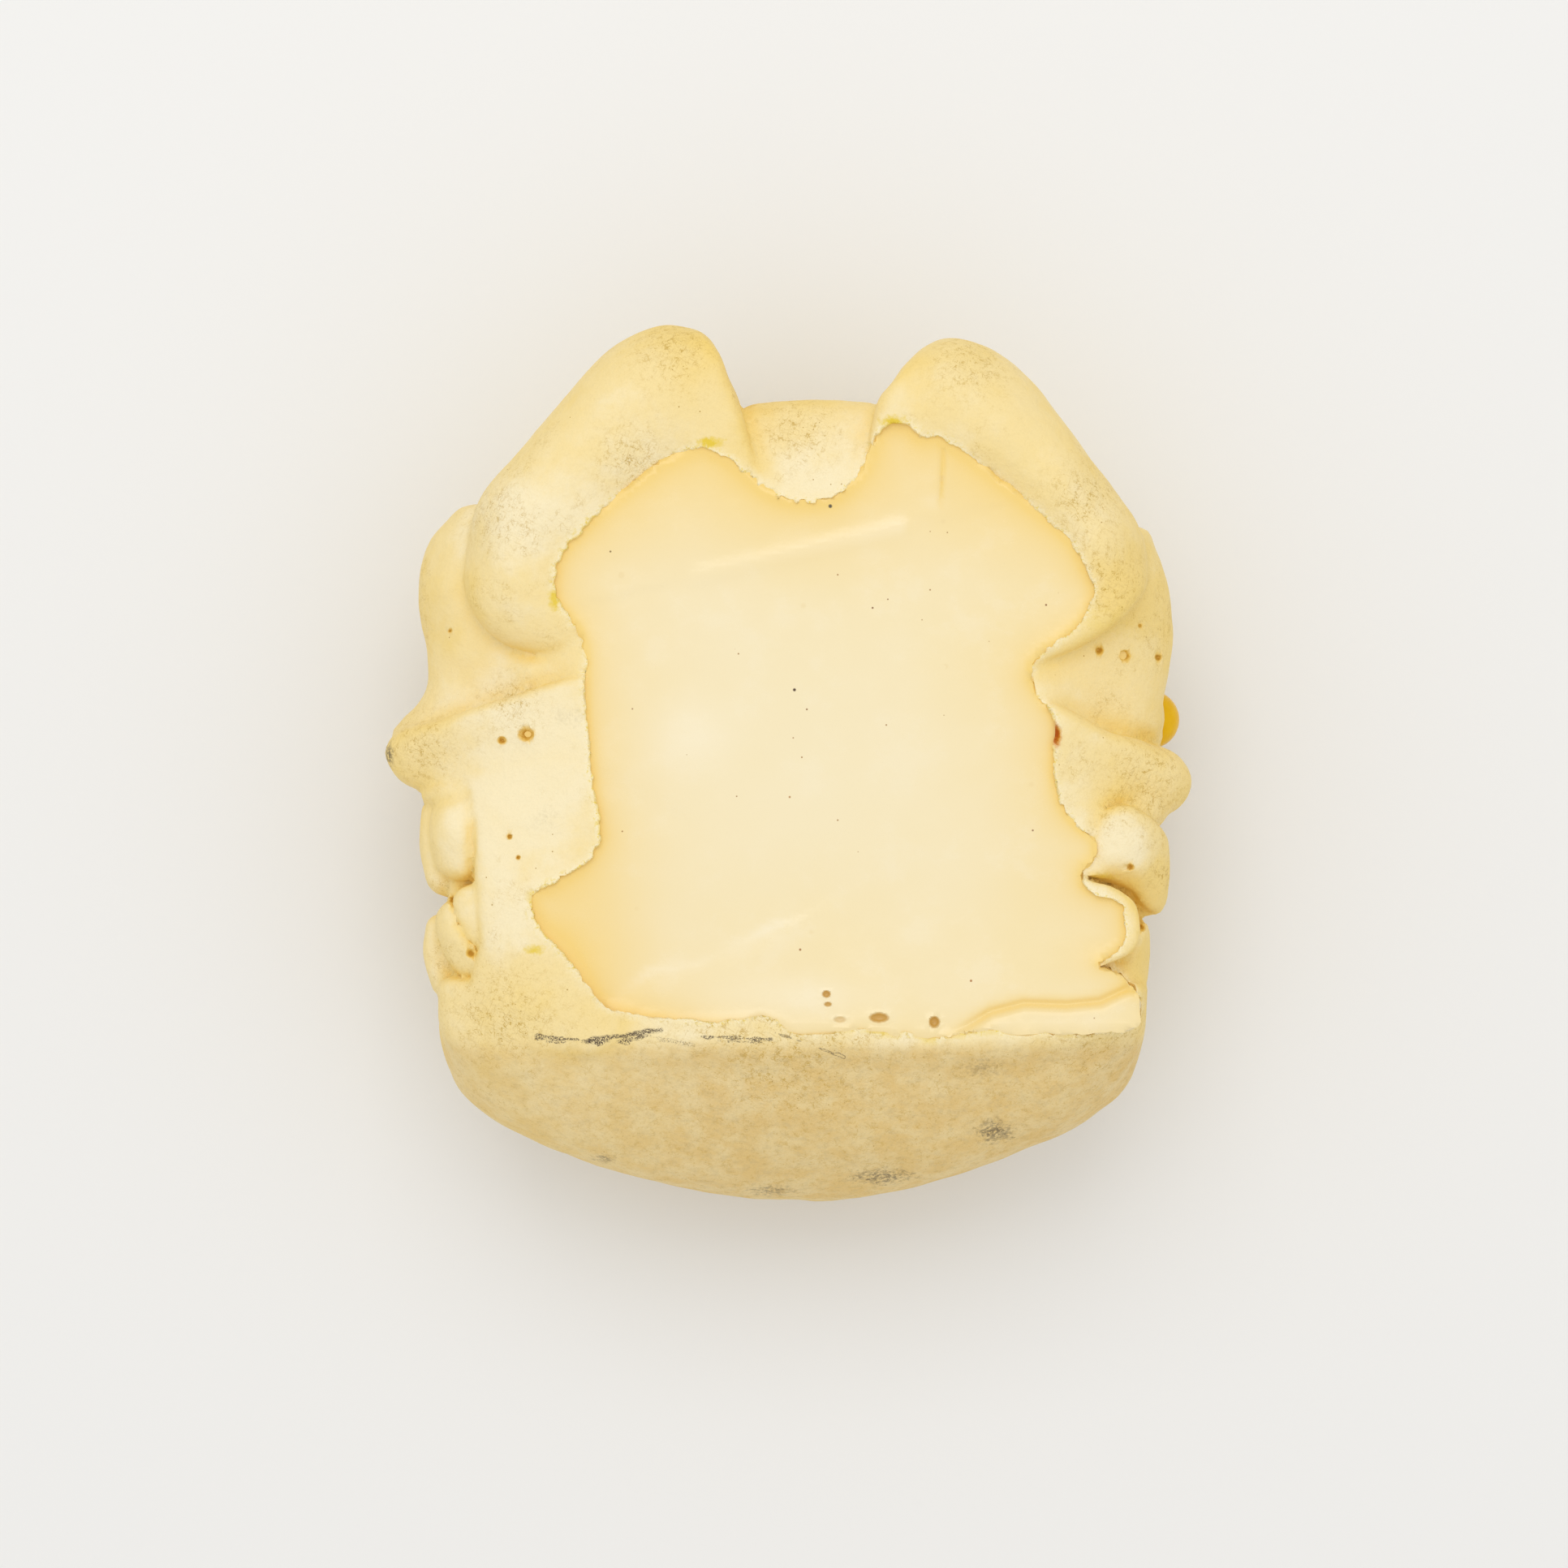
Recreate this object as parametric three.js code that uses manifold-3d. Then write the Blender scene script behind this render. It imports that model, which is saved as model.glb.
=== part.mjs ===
// A heavy-browed skull mask cast as a shell, filled from behind, lying on its face.
// Millimetres. +Z is up, out of the filled back; +Y is the top of the head; +X is to the right.
import * as THREE from "three";
import { mergeVertices } from "three/addons/utils/BufferGeometryUtils.js";
import Module from "manifold-3d";

const wasm = await Module();
wasm.setup();

// Driving sizes
const RIM_Z = 83; // crest of the trimmed back edge
const FILL_Z = 79; // flat back of the poured fill
const FLOOR_Z = 24; // deepest point of the hollow behind the face
const GAP = 0.3; // between pieces that touch
const MOUTH_Y = -28; // line where the two tooth rows meet
const ARCH = { x: 69, z: 60, depth: 49 }; // the tooth rows' U, seen along the head
const TEETH_PER_ROW = 12;
const EYE_R = 6.5;
const EYES = [
  { name: "eye_bead_left", at: [-69.5, 8.5, 26], side: -1 },
  { name: "eye_bead_right", at: [80, 9.5, 27], side: 1 },
];

const SHELL_MAT = new THREE.MeshStandardMaterial({ color: 0xf0dfae, roughness: 0.85, metalness: 0 });
const FILL_MAT = new THREE.MeshStandardMaterial({ color: 0xf6e6bd, roughness: 0.25, metalness: 0 });
const EYE_MAT = new THREE.MeshStandardMaterial({ color: 0xd9a01c, roughness: 0.12, metalness: 0 });

// Hand-set outline of the trimmed back edge, anticlockwise from the dip between the brows.
const RIM = [
  [3, 54], [-7, 58], [-15, 64], [-23, 65], [-33, 58], [-44, 48], [-49, 39], [-46, 31],
  [-42.5, 23], [-42, 8], [-41, -6], [-39.5, -16], [-45, -23], [-53, -27], [-53, -34], [-46, -42],
  [-37, -51], [-22, -54], [-4, -54], [10, -56], [30, -57], [55, -56.5], [70, -56.5], [73, -52],
  [70, -46], [64.5, -43], [70, -38.5], [71.5, -33], [69, -28.5], [62, -26], [61.5, -21], [62.5, -16],
  [57, -10], [55, 0], [55, 8], [50.5, 17], [52, 22], [60, 29], [63.5, 35], [59, 45],
  [48, 55], [36, 65], [24, 70], [18, 66], [12, 57],
];

// ---- shape helpers ----

function geometryOf(vertices, faces) {
  const g = new THREE.BufferGeometry();
  g.setAttribute("position", new THREE.Float32BufferAttribute(vertices.flat(), 3));
  g.setIndex(faces.flat());
  return g;
}

function ellipseRing(z, a, b, n, cx, cy, count = 36) {
  const ring = [];
  for (let i = 0; i < count; i++) {
    const t = (i / count) * 2 * Math.PI;
    const c = Math.cos(t);
    const s = Math.sin(t);
    const x = Math.sign(c) * Math.abs(c) ** (2 / n);
    const y = Math.sign(s) * Math.abs(s) ** (2 / n);
    ring.push([cx + a * x, cy + b * y, z]);
  }
  return ring;
}

// Skin over a stack of rings that have the same point count, closed by flat ends.
function loft(rings) {
  const n = rings[0].length;
  const faces = [];
  for (let i = 0; i + 1 < rings.length; i++)
    for (let j = 0; j < n; j++) {
      const a = i * n + j;
      const b = i * n + ((j + 1) % n);
      faces.push([a, b, b + n], [a, b + n, a + n]);
    }
  const cap = (ring) => THREE.ShapeUtils.triangulateShape(ring.map((p) => new THREE.Vector2(p[0], p[1])), []);
  for (const [a, b, c] of cap(rings[0])) faces.push([a, c, b]);
  const top = (rings.length - 1) * n;
  for (const [a, b, c] of cap(rings.at(-1))) faces.push([top + a, top + b, top + c]);
  return geometryOf(rings.flat(), faces);
}

// Round-ended roll of changing radius through stations [x, y, z, radius].
function roll(stations, steps = 8, around = 12) {
  const at = (k) => new THREE.Vector3(...stations[k].slice(0, 3));
  const path = new THREE.CatmullRomCurve3(stations.map((_, k) => at(k)), false, "catmullrom");
  const radii = new THREE.CatmullRomCurve3(stations.map((s) => new THREE.Vector3(s[3], 0, 0)), false, "catmullrom");
  const rows = [];
  rows.push([0, -0.65]);
  for (let i = 0; i <= steps; i++) rows.push([i / steps, 0]);
  rows.push([1, 0.65]);
  const vertices = [];
  const faces = [];
  for (const [t, f] of rows) {
    const r = radii.getPoint(t).x;
    const along = path.getTangent(t);
    const side = along.clone().cross(new THREE.Vector3(0, 0, 1)).normalize();
    const up = side.clone().cross(along).normalize();
    const centre = path.getPoint(t).addScaledVector(along, f * r);
    for (let j = 0; j < around; j++) {
      const a = (j / around) * 2 * Math.PI;
      const w = r * Math.sqrt(1 - f * f);
      vertices.push(centre.clone().addScaledVector(side, w * Math.cos(a)).addScaledVector(up, w * Math.sin(a)).toArray());
    }
  }
  const count = rows.length;
  for (let i = 0; i + 1 < count; i++)
    for (let j = 0; j < around; j++) {
      const a = i * around + j;
      const b = i * around + ((j + 1) % around);
      faces.push([a, b + around, b], [a, a + around, b + around]);
    }
  const first = vertices.push(path.getPoint(0).addScaledVector(path.getTangent(0), -radii.getPoint(0).x).toArray()) - 1;
  const last = vertices.push(path.getPoint(1).addScaledVector(path.getTangent(1), radii.getPoint(1).x).toArray()) - 1;
  for (let j = 0; j < around; j++) {
    faces.push([first, j, (j + 1) % around]);
    faces.push([last, (count - 1) * around + ((j + 1) % around), (count - 1) * around + j]);
  }
  return geometryOf(vertices, faces);
}

function lump([x, y, z], [a, b, c], turn = 0, seg = 16) {
  return new THREE.SphereGeometry(1, seg, Math.round(seg * 0.6)).scale(a, b, c).rotateZ(turn).translate(x, y, z);
}

function solid(geometry) {
  const g = geometry.clone();
  g.deleteAttribute("normal");
  g.deleteAttribute("uv");
  const m = mergeVertices(g, 1e-4);
  return new wasm.Manifold(new wasm.Mesh({
    numProp: 3,
    vertProperties: new Float32Array(m.attributes.position.array),
    triVerts: new Uint32Array(m.index.array),
  }));
}

const union = (list) => list.map(solid).reduce((a, b) => a.add(b));

function meshOf(manifold, name, material) {
  const m = manifold.getMesh();
  const g = new THREE.BufferGeometry();
  g.setAttribute("position", new THREE.BufferAttribute(m.vertProperties, 3));
  g.setIndex(new THREE.BufferAttribute(m.triVerts, 1));
  g.computeVertexNormals();
  const mesh = new THREE.Mesh(g, material);
  mesh.name = name;
  return mesh;
}

// ---- the head's masses ----

// Bowl of the face: half an ellipsoid below its widest level, drawn in to the back edge above it.
function bowl() {
  const levels = [[13, 0.2], [15, 0.35], [20, 0.55], [28, 0.745], [38, 0.885], [50, 0.975], [62, 1], [72, 0.97], [79, 0.88], [82, 0.8]];
  return loft(levels.map(([z, s]) => ellipseRing(z, 66 * s, 74 * s, 2.4, 1, -2 - 4 * (1 - s))));
}

function chin() {
  return loft([
    ellipseRing(-1.5, 24, 9, 2, 0, -74), ellipseRing(3, 41, 17, 2, 0, -73.5), ellipseRing(13, 58, 26, 2, 0, -69),
    ellipseRing(28, 68, 33, 2.1, 0, -64), ellipseRing(46, 73.5, 38, 2.1, 0, -57), ellipseRing(60, 75.5, 37, 2.3, 0.5, -50.5),
    ellipseRing(72, 75.5, 29, 2.8, 0.5, -45.5), ellipseRing(79, 74.5, 20, 3.6, 0.5, -42), ellipseRing(82, 72.5, 16, 5, 0.5, -42),
  ]);
}

// Two lobes of the forehead with a cleft between them, and the brow ridge in front of them.
function forehead() {
  return [
    roll([[-14, 71, 66, 10], [-26, 77, 69, 14], [-40, 67.5, 69.5, 13.5], [-52, 55, 69, 12.5], [-58.5, 44, 68, 11.5], [-58, 37, 68, 10.5]], 9, 14),
    roll([[-58, 40, 68, 10.5], [-50, 33, 70, 8.5], [-44, 30, 72, 7]], 3, 12),
    roll([[22, 73, 68, 9.5], [33, 74.5, 69.5, 13.5], [45, 67.5, 70, 13], [56, 56, 69.5, 12.5], [63, 46, 69, 11.5], [64.5, 38, 69, 10]], 9, 14),
    roll([[65, 40, 69, 9.5], [60, 31, 71, 8], [53, 24, 73, 6.5]], 3, 12),
    lump([-41, 57, 41], [31, 20, 42.5], (48 * Math.PI) / 180, 22),
    lump([42, 56.5, 41], [31, 20, 42.5], (-51 * Math.PI) / 180, 22),
    lump([2, 54, 40], [34, 22, 34]),
    roll([[-66, 25, 27, 8], [-46, 33, 14, 10.5], [-22, 27, 10, 9], [0, 31, 12, 9], [22, 27, 10, 9], [46, 33, 14, 10.5], [66, 25, 27, 8]], 10, 10),
  ];
}

function temples() {
  return [
    lump([-60, 31, 46], [18.5, 23, 27]), lump([60.5, 27, 46], [20, 27, 28]),
    lump([-59, 11, 33], [20.5, 16, 19], 0, 16), lump([62, 11, 33], [20.5, 16, 19], 0, 16),
  ];
}

function cheekbones() {
  return [
    roll([[-44, 1, 69, 12], [-58, 1.5, 66, 9.5], [-70, 1, 63, 7], [-80.5, 0.8, 60, 5]], 5, 12),
    roll([[52, 1, 71, 9], [62, -0.5, 68, 8], [72, -3, 64, 6.5], [80.5, -5.5, 61, 5]], 5, 12),
    roll([[-78.5, 0, 58, 5.5], [-68, -2, 38, 10], [-52, -2, 22, 11.5], [-32, 2, 12, 10]], 5, 10),
    roll([[78.5, -5, 58, 5.5], [69, -4, 38, 10], [52, -2, 22, 11.5], [32, 2, 12, 10]], 5, 10),
  ];
}

function jawSides() {
  const strip = (cx, a, cy, b, top) => loft([40, 60, top - 3, top].map((z, k) =>
    ellipseRing(z, a - (k === 3 ? 1.6 : 0), b, 5, cx, cy, 24)));
  return [strip(-53, 14, -27, 31, 80), strip(61, 11.5, -21, 21, 79.5)];
}

// Eyelid ring that holds a bead on the outer corner of the face.
function eyelid({ at: [x, y, z], side }) {
  return new THREE.TorusGeometry(7, 3, 7, 14).rotateY(side * 1.1).translate(x - side * 3, y, z + 1);
}

function nose() {
  return [roll([[0, 46, 22, 10], [0, 30, 12, 9.5], [0, 14, 10, 8]], 4, 10), lump([0, 5, 16], [20, 14, 12])];
}

// One tooth: a barrel standing along the head, on the arch at the angle given.
function tooth(angle, y0, y1, r) {
  const x = ARCH.x * Math.cos(angle);
  const z = ARCH.z - ARCH.depth * Math.sin(angle);
  return roll([[x, y0, z, r * 0.85], [x * 1.01, (y0 + y1) / 2, z, r], [x, y1, z, r * 0.8]], 2, 8);
}

function toothRows() {
  const list = [];
  for (let i = 0; i < TEETH_PER_ROW; i++) {
    const angle = Math.PI * (0.015 + (0.97 * i) / (TEETH_PER_ROW - 1));
    const mid = 1 - Math.abs(2 * i / (TEETH_PER_ROW - 1) - 1);
    list.push(tooth(angle, MOUTH_Y + 7, MOUTH_Y + 13 + 4 * mid, 7.8 + 0.7 * mid));
    list.push(tooth(angle, MOUTH_Y - 7, MOUTH_Y - 16, 7.4 + 0.6 * mid));
  }
  // the large back tooth that meets the trimmed edge on the right, and the cut one below it
  list.push(roll([[71, -16, 69, 6.8], [71.5, -21, 69, 8], [71, -26, 68, 6.6]], 3, 12));
  list.push(roll([[67, -33, 72, 7.2], [67.5, -37.5, 72, 8], [66, -43, 72, 7]], 3, 12));
  return list;
}

function hollowRings(inset) {
  const rim = new THREE.CatmullRomCurve3(RIM.map(([x, y]) => new THREE.Vector3(x, y, 0)), true, "catmullrom", 0.4);
  const count = 78;
  const edge = Array.from({ length: count }, (_, i) => {
    const t = i / count;
    const p = rim.getPointAt(t);
    const d = rim.getTangentAt(t);
    return [p.x - d.y * inset, p.y + d.x * inset];
  });
  // Deeper down the ragged outline melts into an even oval that stays inside the cast skin.
  const levels = [[FLOOR_Z + inset, 0.44, 1], [34, 0.66, 1], [46, 0.8, 0.85], [60, 0.87, 0.6], [71, 0.95, 0.25], [FILL_Z, 1, 0]];
  if (!inset) levels.push([RIM_Z + 6, 1, 0]);
  return levels.map(([z, s, melt]) => edge.map(([x, y], i) => {
    const a = Math.PI / 2 + (i / count) * 2 * Math.PI;
    const oval = [4 + (60 * s - inset) * Math.cos(a), -2 + (62 * s - inset) * Math.sin(a)];
    return [x * (1 - melt) + oval[0] * melt, y * (1 - melt) + oval[1] * melt, z];
  }));
}

// ---- pieces ----

function castShell() {
  let body = union([
    bowl(), chin(), ...forehead(), ...temples(), ...cheekbones(), ...jawSides(), ...nose(), ...toothRows(), ...EYES.map(eyelid),
  ]);
  // nasal openings and orbits, then a bed for each eye bead, then the hollow behind the face
  for (const side of [-1, 1]) {
    body = body.subtract(solid(lump([side * 8, 9, 4], [5.5, 12, 9], side * 0.35, 10)));
    body = body.subtract(solid(lump([side * 50, 14, 10], [19, 9.5, 11], side * -0.15, 14)));
  }
  for (const { at } of EYES) body = body.subtract(solid(lump(at, [EYE_R + GAP, EYE_R + GAP, EYE_R + GAP], 0, 16)));
  body = body.subtract(solid(loft(hollowRings(0))));
  // flats where brows and chin bear on the table
  const table = new THREE.BoxGeometry(300, 300, 50).translate(0, 0, -25);
  return meshOf(body.subtract(solid(table)), "cast_shell", SHELL_MAT);
}

function backFill() {
  return meshOf(solid(loft(hollowRings(GAP))), "back_fill", FILL_MAT);
}

function eyeBead({ name, at }) {
  return meshOf(solid(lump(at, [EYE_R, EYE_R, EYE_R], 0, 20)), name, EYE_MAT);
}

const group = new THREE.Group();
group.add(castShell(), backFill(), ...EYES.map(eyeBead));

// origin at the middle of the footprint, on the table
const middle = new THREE.Box3().setFromObject(group).getCenter(new THREE.Vector3());
for (const mesh of group.children) mesh.geometry.translate(-middle.x, -middle.y, 0);
export default group;
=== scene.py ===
import math

import bmesh
import bpy
import numpy as np
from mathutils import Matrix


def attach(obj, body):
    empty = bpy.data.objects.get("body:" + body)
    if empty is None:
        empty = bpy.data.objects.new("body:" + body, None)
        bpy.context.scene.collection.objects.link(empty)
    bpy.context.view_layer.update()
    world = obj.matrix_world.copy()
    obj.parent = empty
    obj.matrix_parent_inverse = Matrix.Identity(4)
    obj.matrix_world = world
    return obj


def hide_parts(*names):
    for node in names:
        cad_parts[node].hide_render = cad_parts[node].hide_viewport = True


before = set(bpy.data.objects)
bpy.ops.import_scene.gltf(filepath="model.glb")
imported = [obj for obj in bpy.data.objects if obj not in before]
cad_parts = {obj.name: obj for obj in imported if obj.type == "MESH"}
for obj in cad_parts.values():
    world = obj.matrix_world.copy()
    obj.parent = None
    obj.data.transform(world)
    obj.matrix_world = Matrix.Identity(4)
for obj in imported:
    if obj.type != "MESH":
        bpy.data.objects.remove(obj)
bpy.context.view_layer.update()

import openvdb as vdb
from mathutils import Vector

# Sizes below are millimetres in the modelling frame: x and y from the middle of the fill, z up from
# the table. The finished meshes are moved by SHIFT into the part's own frame, whose origin is the
# middle of its footprint.
SHIFT = np.array([-0.597, 3.485, 0.0])
MM = 0.001
CELL = 1.23
WALL = 2.2
OPENING_Z = 64      # the cut edge goes down to here, and the hollow widens below it
FILL_Z = 78.3
FILL_BASE_Z = 22
CRISP_ANGLE = 48    # edges folded more than this many degrees are shaded crisp
GRIP = 1.2          # how far the pour runs into the wall of the skin
COVER = 0.4         # the least skin left over the pour
EYES = {"eye_bead_left": (-69.5, 8.5, 26.0), "eye_bead_right": (80.0, 9.5, 27.0)}
EYE_R = 6.5

# Trimmed back edge of the skin, clockwise from the left side under the brow roll.
RIM = [
    (-42.7, 23.5), (-44.4, 28.6), (-48.5, 33.7), (-49, 38.8), (-47.3, 43.9), (-43.9, 48.1), (-38.8, 53.2),
    (-32.8, 58.3), (-27.7, 62.2), (-22.6, 64.6), (-18.4, 65.5), (-15, 64.3), (-11.6, 62.2), (-7.3, 58.3),
    (-3.1, 55.4), (2.9, 54.1), (8.8, 54.9), (13.1, 58.3), (15.6, 61.7), (17.3, 66), (19, 69.4), (21.6, 70.7),
    (25, 70.2), (27.5, 68), (31.8, 67.7), (36.9, 64.3), (43.7, 59.2), (48.8, 54.9), (53.9, 50.7), (59, 45.6),
    (61.5, 40.5), (63.2, 37.1), (63.2, 33.7), (60.7, 29.4), (55.6, 25.2), (51.3, 21.8), (50.2, 19.2),
    (50.2, 16.7), (53, 12.4), (55.3, 9), (55.6, 5.6), (55.1, -0.3), (55.6, -5.4), (57.3, -10.5),
    (60.5, -14.2),
    (63.4, -16.6), (63.6, -20), (61.2, -22.6), (61.3, -26), (64.6, -28.3), (68.4, -29.5), (69.8, -31.5),
    (70.2, -35), (70.2, -37.4), (68.3, -40), (64.3, -42.6), (69, -44.8), (72, -48.6), (73.2, -52.5),
    (70.9, -56.2), (55.6, -56.6), (38.6, -56.4),
    (28.4, -57.3), (21.6, -56.8), (14.8, -55.6), (8, -56.4), (1.2, -56.4), (-3.9, -53.9), (-12.4, -53.9),
    (-20.9, -54.4), (-29.4, -53.4), (-34.5, -52.2), (-38.8, -50.5), (-43, -45.4), (-47.3, -40.3),
    (-52.4, -35.2), (-54.1, -30.9), (-53.2, -27.5), (-48.1, -25), (-43, -21.6), (-39.6, -16.5),
    (-40.1, -12.2), (-41.3, -3.7), (-41.8, 3.1), (-42.7, 13.3),
]

CHIP = (55.8, 5.6)

# Air bubbles that broke through the skin: x, y, half width, half height.
SKIN_HOLES = [
    (-60.5, 4.4, 0.9, 0.8), (-55.3, 5.6, 1.7, 1.4), (-58.8, -15.8, 0.6, 0.6), (-57, -20.2, 0.5, 0.5),
    (-67.2, -40.5, 1.0, 0.9), (-71.7, -29.4, 0.7, 0.7), (-72.4, 27.9, 0.5, 0.5), (65.5, 23.5, 0.9, 0.9),
    (71.1, 22.4, 1.2, 1.2), (78.9, 22.3, 0.9, 0.9), (74.5, 28.9, 0.5, 0.5), (71.6, -22.3, 0.8, 0.8),
    (74.5, -35.2, 0.7, 0.7), (*CHIP, 1.0, 2.2),
]
FILL_HOLES = [
    (7.7, -48.8, 0.85, 0.75), (8, -50.9, 0.8, 0.5), (18.7, -53.7, 2.0, 1.0), (30.3, -54.6, 1.1, 1.2),
    (10.5, -54.1, 1.3, 0.6),
]


# ---------------------------------------------------------------- solid forms as distance fields

def smooth_min(a, b, k):
    h = np.clip(0.5 + 0.5 * (b - a) / k, 0, 1)
    return b + (a - b) * h - k * h * (1 - h)


def smooth_max(a, b, k):
    return -smooth_min(-a, -b, k)


def smooth_step(v, lo, hi):
    t = np.clip((v - lo) / (hi - lo), 0, 1)
    return t * t * (3 - 2 * t)


def catmull(points, per_span, closed=False):
    p = np.array(points, float)
    n = len(p)
    out = []
    for i in range(n if closed else n - 1):
        if closed:
            a, b, c, d = p[i - 1], p[i], p[(i + 1) % n], p[(i + 2) % n]
        else:
            a, b, c, d = p[max(i - 1, 0)], p[i], p[i + 1], p[min(i + 2, n - 1)]
        for t in np.arange(per_span) / per_span:
            curve = (2 * a - 5 * b + 4 * c - d) * t * t + (3 * b - a - 3 * c + d) * t ** 3
            out.append(0.5 * (2 * b + (c - a) * t + curve))
    if not closed:
        out.append(p[-1])
    return np.array(out)


class Form:
    """A mass of the casting: its distance field, the box it reaches, and how softly it joins the rest."""

    def __init__(self, blend, lo, hi, cut=False):
        self.blend, self.cut = blend, cut
        self.lo, self.hi = np.array(lo, float) - blend - 5, np.array(hi, float) + blend + 5


class Lump(Form):
    def __init__(self, centre, radii, turn=0, blend=4, cut=False):
        reach = max(radii)
        super().__init__(blend, np.array(centre) - reach, np.array(centre) + reach, cut)
        self.c, self.r = centre, radii
        self.turn = math.radians(turn)

    def dist(self, x, y, z):
        x, y, z = x - self.c[0], y - self.c[1], z - self.c[2]
        c, s = math.cos(self.turn), math.sin(self.turn)
        x, y = c * x + s * y, c * y - s * x
        k0 = np.sqrt((x / self.r[0]) ** 2 + (y / self.r[1]) ** 2 + (z / self.r[2]) ** 2)
        k1 = np.sqrt((x / self.r[0] ** 2) ** 2 + (y / self.r[1] ** 2) ** 2 + (z / self.r[2] ** 2) ** 2)
        return k0 * (k0 - 1) / np.maximum(k1, 1e-4)


class Roll(Form):
    """Rounded roll of changing radius along stations (x, y, z, radius)."""

    def __init__(self, stations, blend=4, per_span=5, flat=1.0, cut=False):
        self.s = catmull(stations, per_span)
        r = self.s[:, 3:4]
        super().__init__(blend, (self.s[:, :3] - r).min(0), (self.s[:, :3] + r).max(0), cut)
        self.flat = flat

    def dist(self, x, y, z):
        best = None
        for a, b in zip(self.s[:-1], self.s[1:]):
            d = b[:3] - a[:3]
            px, py, pz = x - a[0], y - a[1], z - a[2]
            t = np.clip((px * d[0] + py * d[1] + pz * d[2]) / max(d @ d, 1e-6), 0, 1)
            q = np.sqrt((px - t * d[0]) ** 2 + (py - t * d[1]) ** 2 + ((pz - t * d[2]) / self.flat) ** 2)
            q = q - (a[3] + (b[3] - a[3]) * t)
            best = q if best is None else np.minimum(best, q)
        return best * min(self.flat, 1.0)


class Stack(Form):
    """Mass given by even outlines at heights: z, half width, half depth, squareness, middle x, middle y."""

    def __init__(self, rows, blend=4):
        self.rows = catmull(rows, 6)
        z, a, b, n, cx, cy = self.rows.T
        lo = ((cx - a).min(), (cy - b).min(), z.min())
        hi = ((cx + a).max(), (cy + b).max(), z.max())
        super().__init__(blend, lo, hi)

    def dist(self, x, y, z):
        zs = self.rows[:, 0]
        a, b, n, cx, cy = (np.interp(z, zs, self.rows[:, i]) for i in range(1, 6))
        slope = np.interp(z, zs, np.gradient(self.rows[:, 2] + self.rows[:, 1], zs) / 2)
        u, v = np.abs(x - cx) / a, np.abs(y - cy) / b
        u, v = np.maximum(u, 1e-4), np.maximum(v, 1e-4)
        m = (u ** n + v ** n) ** (1 / n)
        grad = m ** (1 - n) * np.sqrt((u ** (n - 1) / a) ** 2 + (v ** (n - 1) / b) ** 2)
        side = (m - 1) / np.maximum(grad, 1e-5) / np.sqrt(1 + np.clip(slope, -3, 3) ** 2)
        return smooth_max(smooth_max(side, z - zs[-1], 1.5), zs[0] - z, 1.5)


def combine(forms, x, y, z):
    """Field of the forms joined in order. On a lattice, x, y and z are its open axes, else point lists."""
    lattice = x.ndim == 3
    field = np.full(np.broadcast_shapes(x.shape, y.shape, z.shape), 30.0)
    for f in forms:
        if lattice:
            cut = tuple(slice(*np.searchsorted(axis.ravel(), (f.lo[i], f.hi[i])))
                        for i, axis in enumerate((x, y, z)))
            part = (x[cut[0], :, :], y[:, cut[1], :], z[:, :, cut[2]])
        else:
            cut = np.ones(len(x), bool)
            for i, axis in enumerate((x, y, z)):
                cut &= (axis > f.lo[i]) & (axis < f.hi[i])
            part = (x[cut], y[cut], z[cut])
        d = f.dist(*part)
        field[cut] = smooth_max(field[cut], -d, f.blend) if f.cut else smooth_min(field[cut], d, f.blend)
    return field


def lattice_noise(x, y, z, size, seed):
    """Smooth random value from -1 to 1, with features about size apart."""
    i, j, k = (np.floor(v / size).astype(np.int64) for v in (x, y, z))
    u, v, w = (smooth_step(a / size - cell, 0, 1) for a, cell in zip((x, y, z), (i, j, k)))
    total = 0.0
    for dx in (0, 1):
        for dy in (0, 1):
            for dz in (0, 1):
                mixed = (i + dx) * 73856093 ^ (j + dy) * 19349663 ^ (k + dz) * 83492791
                mixed = mixed ^ (seed * 2654435761)
                mixed = (mixed ^ (mixed >> 13)) * 1274126177 & 0x7FFFFFFF
                share = (u if dx else 1 - u) * (v if dy else 1 - v) * (w if dz else 1 - w)
                total = total + share * (mixed / 0x3FFFFFFF - 1)
    return total


# ---------------------------------------------------------------- the plan of the trimmed edge

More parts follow.
